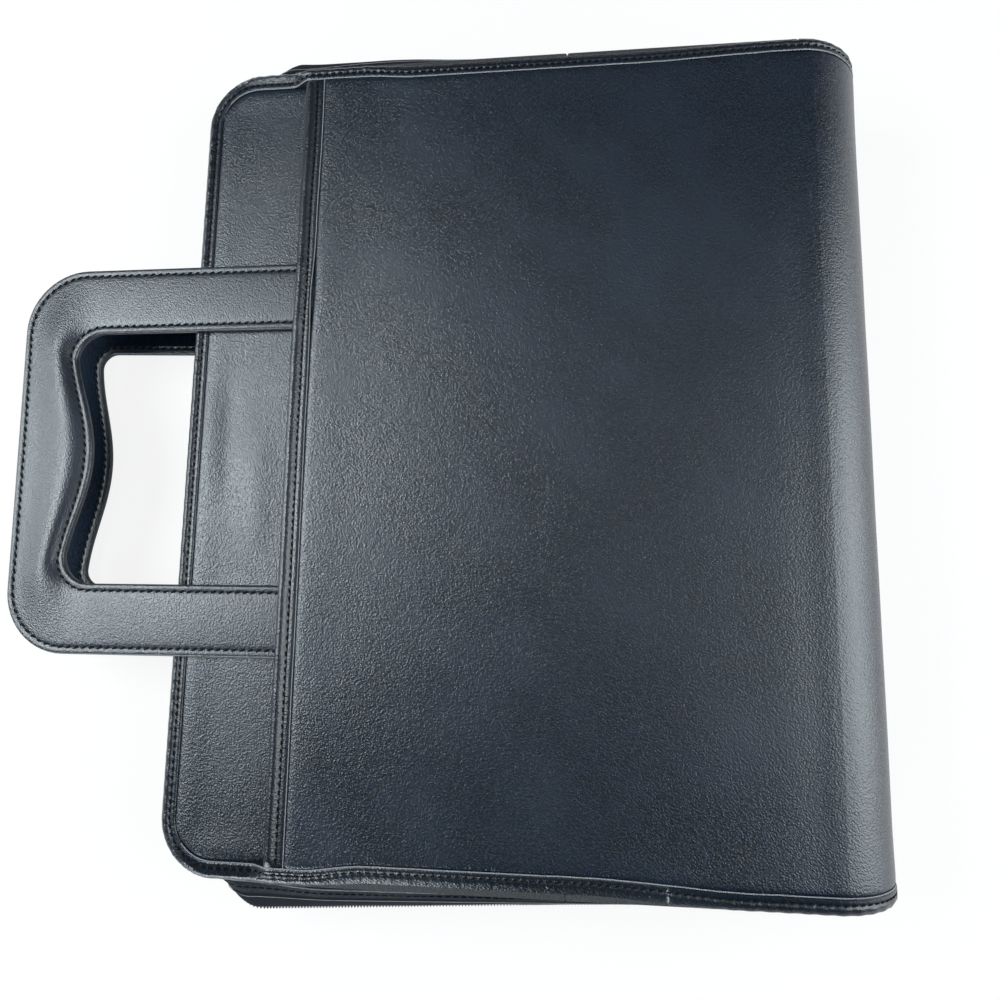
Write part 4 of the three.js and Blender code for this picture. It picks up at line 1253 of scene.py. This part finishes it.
class BINDER_OT_skin(bpy.types.Operator):
    """Main panels and spine: one padded leather covering"""

    bl_idname = "binder.skin"
    bl_label = "Cover leather"

    def execute(self, context):
        run_pieces(build_skin, "leather", "leather", "leather",
                   (("front_main_panel",), ("spine_skin", "back_main_panel")))
        for side, body in SIDES.items():
            strip = built(build_strip, side == "front")
            finish(strip, f"{side}_strip_leather", "leather", body, "leather",
                   (f"{side}_strip_panel",))
        return {"FINISHED"}


class BINDER_OT_binding(bpy.types.Operator):
    """Folded edge binding all round the covers, with its stitching"""

    bl_idname = "binder.binding"
    bl_label = "Edge binding"

    def execute(self, context):
        run_pieces(build_binding, "binding_roll", "binding", "binding",
                   (("front_edge_binding",),
                    ("back_edge_binding", "spine_binding_upper", "spine_binding_lower")))
        # The binding's pale edge line: its cloth backing, and partly a painted highlight
        run_pieces(build_raw_edge_and_glint, "binding_raw_edge", "raw_edge", "binding", ((), ()))
        run_pieces(build_binding_thread, "binding_stitches", "thread", "binding", ((), ()))
        return {"FINISHED"}


class BINDER_OT_mouth(bpy.types.Operator):
    """Rolled and stitched mouths of the two handle pockets"""

    bl_idname = "binder.mouth"
    bl_label = "Pocket mouths"

    def execute(self, context):
        for side, body in SIDES.items():
            front = side == "front"
            for build, name, look, nodes in (
                    (build_mouth, "roll", "binding", (f"{side}_pocket_welt",)),
                    (build_mouth_thread, "stitches", "thread", ()),
                    (build_mouth_edge, "raw_edge", "raw_edge", ())):
                finish(built(build, front), f"{side}_mouth_{name}", look, body, "binding", nodes)
        return {"FINISHED"}


class BINDER_OT_handles(bpy.types.Operator):
    """Two padded handles with rolled rims and double stitching"""

    bl_idname = "binder.handles"
    bl_label = "Handles"

    def execute(self, context):
        for name in HANDLES:
            solids = (f"{name}_outer_face", f"{name}_core", f"{name}_inner_face")
            piece = finish(built(build_handle, name), f"{name}_loop", "handle_leather", name,
                           "leather", solids)
            # Painted shade: a dull sheet on the face toward the other handle
            finish(built(build_handle_shade_sheet, name), f"{name}_back", "handle_back", name, "leather")
            finish(built(build_handle_thread, name), f"{name}_stitches", "thread", name, "leather")
            remade(f"{name}_stop_strip", f"{name}_stop", "tape", name, "lining", 0.4)
        return {"FINISHED"}


# Builder and its values, name, look, slot, and the solid that the piece stands for
ZIP_PIECES = (
    (build_gusset, FACING, "gusset_leather", "gusset", "binding", "gusset_facing"),
    (build_gusset, TAPE, "tape_cloth", "tape", "zip_tape", "zip_tape"),
    (build_gusset_thread, (), "gusset_stitches", "thread", "binding"),
    (build_gusset_edge, RAW_EDGE, "gusset_raw_edge", "raw_edge", "binding"),
    (build_gusset_edge, TAPE_FOLD, "gusset_fold", "raw_edge", "zip_tape"),
    (build_teeth, (), "coil", "teeth", "zip_teeth", "zip_teeth"),
)


class BINDER_OT_zip(bpy.types.Operator):
    """Gusset, tape and teeth of the zip"""

    bl_idname = "binder.zip"
    bl_label = "Zip and gusset"

    def execute(self, context):
        sides = {"front": (-1, "front_cover"), "rear": (1, "back")}
        for name, (side, body) in sides.items():
            for build, values, piece, look, slot, *solids in ZIP_PIECES:
                finish(built(build, side, *values), f"{name}_{piece}", look, body, slot,
                       [f"{name}_{solid}" for solid in solids])
        return {"FINISHED"}


class BINDER_OT_slider(bpy.types.Operator):
    """Zip slider with its hinged pull"""

    bl_idname = "binder.slider"
    bl_label = "Slider and pull"

    def execute(self, context):
        at = run_frame(SLIDER_PLACE)
        bm = bmesh.new()
        for low, high in ((-2.9, -1.9), (1.9, 2.9)):
            block(bm, (-5, low, -4.2), (5, high, 4.2), 0.42, at)
        block(bm, (2.5, -2.8, -0.4), (4.5, 2.8, 0.4), 0.12, at)
        for low, high in ((-2.8, -2.0), (2.0, 2.8)):
            block(bm, (-1.7, 2.7, low), (1.7, 6.5, high), 0.3, at)
        rod(bm, (0, 5.3, -2.1), (0, 5.3, 2.1), 0.8, at)
        finish(bm, "zip_slider_body", "metal", "slider", "metal", ("zip_slider",))
        bm = bmesh.new()
        profile = [(1.25, -1.7), (1.25, 1.7), (-6.5, 1.7), (-8.6, 3.3), (-23.6, 3.5), (-25.3, 2.9),
                   (-26, 1.6)]
        outline = profile + [(x, -z) for x, z in reversed(profile[2:])]
        face = bm.faces.new([bm.verts.new((x, 4.7, z)) for x, z in outline])
        pushed = bmesh.ops.extrude_face_region(bm, geom=[face])
        moved = [item for item in pushed["geom"] if isinstance(item, bmesh.types.BMVert)]
        bmesh.ops.translate(bm, vec=(0, 1.2, 0), verts=moved)
        bmesh.ops.bevel(bm, geom=bm.edges[:], offset=0.28, segments=2, profile=0.5, affect="EDGES",
                        material=-1)
        bmesh.ops.transform(bm, matrix=at, verts=bm.verts[:])
        eye = bmesh.ops.create_cone(bm, cap_ends=True, segments=28, radius1=2.1, radius2=2.1,
                                    depth=3.4)
        bmesh.ops.transform(bm, matrix=at @ Matrix.Translation((0, 5.3, 0)), verts=eye["verts"])
        finish(bm, "zip_pull_tab", "metal", "pull", "metal", ("zip_pull",))
        return {"FINISHED"}


class BINDER_OT_rings(bpy.types.Operator):
    """Three-ring mechanism on the back cover"""

    bl_idname = "binder.rings"
    bl_label = "Ring mechanism"

    def execute(self, context):
        for node in ("ring_housing", "ring_rivet_upper", "ring_rivet_lower"):
            plated(node, "back", 0.18)
        for hand, sign in (("left", -1), ("right", 1)):
            plated(f"ring_blade_{hand}", f"{hand}_rings", 0.2)
            for index, at in enumerate(("lower", "middle", "upper")):
                y = (index - 1) * RING_PITCH
                arc = [(RING_RADIUS * math.cos(a), RING_Z + RING_RADIUS * math.sin(a))
                       for a in even(math.radians(-40), math.pi / 2 - 0.15 / RING_RADIUS, 0.09)]
                path = [(6.0, 11.5), (6.0, 12.7), (6.0, 13.9)] + arc

                def place(i, j, path=path, y=y, sign=sign):
                    before, after = path[max(i - 1, 0)], path[min(i + 1, len(path) - 1)]
                    run = Vector((after[0] - before[0], after[1] - before[1])).normalized()
                    across = Vector((0, 1)) if i == len(path) - 1 else Vector((run.y, -run.x))
                    turn = j / ROD_SIDES * 2 * math.pi
                    out = ROD_RADIUS * math.cos(turn)
                    return place_mm(RING_X + sign * (path[i][0] + across.x * out),
                                    y + ROD_RADIUS * math.sin(turn), path[i][1] + across.y * out)

                finish(built(swept, len(path), ROD_SIDES, place), f"ring_{hand}_{at}", "metal",
                       f"{hand}_rings", "metal", (f"half_ring_{hand}_{at}",))
        for at in ("upper", "lower"):
            plated(f"ring_lever_{at}", f"{at}_lever", 0.4, 3)
        return {"FINISHED"}


class BINDER_OT_lining(bpy.types.Operator):
    """Cloth lining of both covers and the spine"""

    bl_idname = "binder.lining"
    bl_label = "Lining"

    def execute(self, context):
        def build(bm, start, stop):
            start = max(start, BINDING_WIDTH)
            stop = min(stop, TOTAL - BINDING_WIDTH)
            along = even(start, stop, 4)
            across = even(-1, 1, 2 / 80)

            def surface(s, v):
                y = half_width(s, BINDING_WIDTH) * v
                return wrap(s, y, -LINING_DEPTH + 0.08 * wave(s, y, 20, 9))

            laid(bm, along, across, surface, LINING_THICKNESS)

        run_pieces(build, "lining_cloth", "lining", "lining",
                   (("front_lining",), ("spine_lining", "back_lining")))
        return {"FINISHED"}


class BINDER_OT_inside(bpy.types.Operator):
    """Document pocket, card pocket and pen loop"""

    bl_idname = "binder.inside"
    bl_label = "Inside pockets"

    def execute(self, context):
        bm = bmesh.new()
        pouches = (("document_pocket", "document_pouch", 9.3), ("card_pocket", "card_pouch", 10.4))
        for node, name, seams in pouches:
            remade(node, name, "handle_leather", "front_cover", "leather", 0.3)
            low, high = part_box(node)
            s_low = (low.x / MM + ORIGIN_X) / math.cos(TILT) + 0.5
            s_high = (high.x / MM + ORIGIN_X) / math.cos(TILT) - 2
            y_low, y_high = low.y / MM + 2, high.y / MM - 2
            path = [(s, y_low) for s in even(s_low, s_high, 5)]
            path += [(s_high, y) for y in even(y_low, y_high, 5)]
            path += [(s, y_high) for s in even(s_high, s_low, 5)]
            points = [wrap(s, y, -seams - 0.85) for s, y in path]
            stitches(bm, points, [-wrap_normal(s, y) for s, y in path], slant=0.0)
        finish(bm, "pouch_stitches", "thread", "front_cover", "leather")
        remade("pen_loop", "pen_loop_elastic", "elastic", "front_cover", "lining", 0.25)
        return {"FINISHED"}


class BINDER_OT_layers(bpy.types.Operator):
    """Foam under the leather and the boards inside the covers"""

    bl_idname = "binder.layers"
    bl_label = "Foam and boards"

    def execute(self, context):
        for side, body in SIDES.items():
            for part in ("padding_upper", "padding_lower", "padding_rear", "mouth_guide"):
                name = f"{side}_foam_{part.split('_')[-1]}"
                remade(f"{side}_{part}", name, "foam", body, "foam", 0.7)
        remade("spine_padding", "spine_foam", "foam", "back", "foam", 0.5)
        for side, body in SIDES.items():
            low, high = (corner.x / MM + ORIGIN_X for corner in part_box("back_board"))
            along = graded(low + 0.4, high, 3.0, True, False)
            across = even(-1, 1, 2 / 60)
            bm = bmesh.new()
            sign = 1 if side == "front" else -1
            laid(bm, along, across, lambda e, v: wrap(
                at_opening(e, sign > 0), half_width(e, low + 0.4) * v * sign, -BOARD_DEPTH),
                BOARD_THICKNESS)
            finish(bm, f"{side}_board_core", "board", body, "fibreboard", (f"{side}_board",))
        board_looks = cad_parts["spine_board"].data.materials
        board_looks.clear()
        board_looks.append(material("board"))
        return {"FINISHED"}


# Where the photo was taken from, and the studio round the binder, in metres
CAMERA_LENS = 28.08
CAMERA_PLACE = (0.039026, -0.065489, 0.352556)
CAMERA_TURN = (0.14044648, 0.02822932, 0.01419558)
FLOOR_REACH = 3.0
FLOOR_DROP = Vector((0, 0, 0.0002))
LAMP_COLOUR = (0.88, 0.97, 1.0)
LAMP_TARGET = Vector((0, 0, 0.03))
LAMPS = {
    "key": ((-0.60, 0.085, 0.62), (0.56, 0.34)),
    "top": ((0.16, 0.12, 0.92), (1.0, 0.40)),
    "fill": ((-0.46, -0.88, 0.20), (0.50, 0.22)),
    "left": ((-0.95, 0.12, 0.22), (0.50, 0.30)),
    "rim": ((0.62, -0.04, 0.38), (0.60, 0.66)),
}


class BINDER_OT_stage(bpy.types.Operator):
    """Camera, white floor and soft studio light"""

    bl_idname = "binder.stage"
    bl_label = "Stage"

    def execute(self, context):
        scene = context.scene
        scene.view_settings.view_transform = "Standard"
        self.camera(scene)
        self.floor(scene)
        self.sky(scene)
        sizes = scene.binder_sizes
        for name, (where, size) in LAMPS.items():
            self.lamp(scene, name, where, size, getattr(sizes, f"{name}_light"))
        return {"FINISHED"}

    def camera(self, scene):
        camera = bpy.data.cameras.new("camera")
        camera.lens = CAMERA_LENS
        camera.sensor_width = 36
        camera.clip_start = 0.01
        viewer = bpy.data.objects.new("camera", camera)
        viewer.location = CAMERA_PLACE
        viewer.rotation_euler = Euler(CAMERA_TURN)
        scene.collection.objects.link(viewer)
        scene.camera = viewer

    def floor(self, scene):
        """Paper that the camera sees white and that lights the binder like paper, but glows white
        to glossy rays, fully on the spine's side, so it shines in the leather's reflections there
        though it is no lamp.
        """
        floor_look = Shader(bpy.data.materials.new("floor"))
        rays = floor_look.node("LightPath")
        spot = floor_look.axes("Object")
        # Glossy rays see the floor glow white, fully on the spine's side: a glowing floor in the
        # leather's reflections, not a lamp
        reflected_glow = rays.value("Is Glossy Ray") * spot.value("X").span(0.0, 0.2, 0.3)
        seen = (rays.value("Is Camera Ray") + rays.value("Is Transmission Ray") + reflected_glow).clamp()
        paper = floor_look.node("BsdfDiffuse", None, {"Color": (0.86, 0.86, 0.86, 1)}).value()
        white = floor_look.node("Emission", None, {"Color": (1, 1, 1, 1), "Strength": 1.0}).value()
        both = floor_look.node("MixShader", None, (seen * 0.86, paper, white)).value()
        floor_look.node("OutputMaterial", None, {"Surface": both})
        bm = bmesh.new()
        grid(bm, 1, 1, lambda i, j: Vector((i * 2 - 1, j * 2 - 1, 0)) * FLOOR_REACH - FLOOR_DROP)
        mesh = bpy.data.meshes.new("floor")
        bm.to_mesh(mesh)
        bm.free()
        mesh.materials.append(floor_look.owner)
        floor = bpy.data.objects.new("floor", mesh)
        scene.collection.objects.link(floor)

    def sky(self, scene):
        """White to the camera, dim elsewhere, with a brighter band low on the spine's side."""
        world = bpy.data.worlds.new("studio")
        scene.world = world
        sky = Shader(world)
        rays = sky.node("LightPath")
        seen = (rays.value("Is Camera Ray") + rays.value("Is Transmission Ray")).clamp()
        way = sky.axes("Generated")
        low = (1 - way.value("Z").span(0.0, 0.5)) * way.value("X").span(-0.3, 0.5, 0.1, 0.45)
        strength = seen + (1 - seen) * (0.035 + low)
        glow = sky.node("Background", None, {"Color": (1, 1, 1, 1), "Strength": strength}).value()
        sky.node("OutputWorld", None, {"Surface": glow})

    def lamp(self, scene, name, where, size, power):
        light = bpy.data.lights.new(name, "AREA")
        light.shape = "RECTANGLE"
        light.size, light.size_y = size
        light.energy = power
        light.color = LAMP_COLOUR
        lamp = bpy.data.objects.new(name, light)
        lamp.location = where
        aim = LAMP_TARGET - Vector(where)
        lamp.rotation_euler = aim.to_track_quat("-Z", "Y").to_euler()
        scene.collection.objects.link(lamp)


class BINDER_PT_panel(bpy.types.Panel):
    bl_idname = "BINDER_PT_panel"
    bl_label = "Zipper binder"
    bl_space_type = "VIEW_3D"
    bl_region_type = "UI"
    bl_category = "Binder"

    def draw(self, context):
        for group in (context.scene.binder_sizes, context.scene.binder_colours):
            box = self.layout.box()
            for name in group.__annotations__:
                box.prop(group, name)
        for operator in OPERATORS:
            self.layout.operator(operator.bl_idname)


OPERATORS = (
    BINDER_OT_skin, BINDER_OT_binding, BINDER_OT_mouth, BINDER_OT_handles, BINDER_OT_zip,
    BINDER_OT_slider, BINDER_OT_rings, BINDER_OT_lining, BINDER_OT_inside, BINDER_OT_layers,
    BINDER_OT_stage)
CLASSES = (BinderSizes, BinderColours, *OPERATORS, BINDER_PT_panel)


def register():
    for item in CLASSES:
        bpy.utils.register_class(item)
    bpy.types.Scene.binder_sizes = bpy.props.PointerProperty(type=BinderSizes)
    bpy.types.Scene.binder_colours = bpy.props.PointerProperty(type=BinderColours)


def unregister():
    del bpy.types.Scene.binder_colours
    del bpy.types.Scene.binder_sizes
    for item in reversed(CLASSES):
        bpy.utils.unregister_class(item)


def main():
    register()
    for operator in OPERATORS:
        group, name = operator.bl_idname.split(".")
        getattr(getattr(bpy.ops, group), name)()


if __name__ == "__main__":
    main()
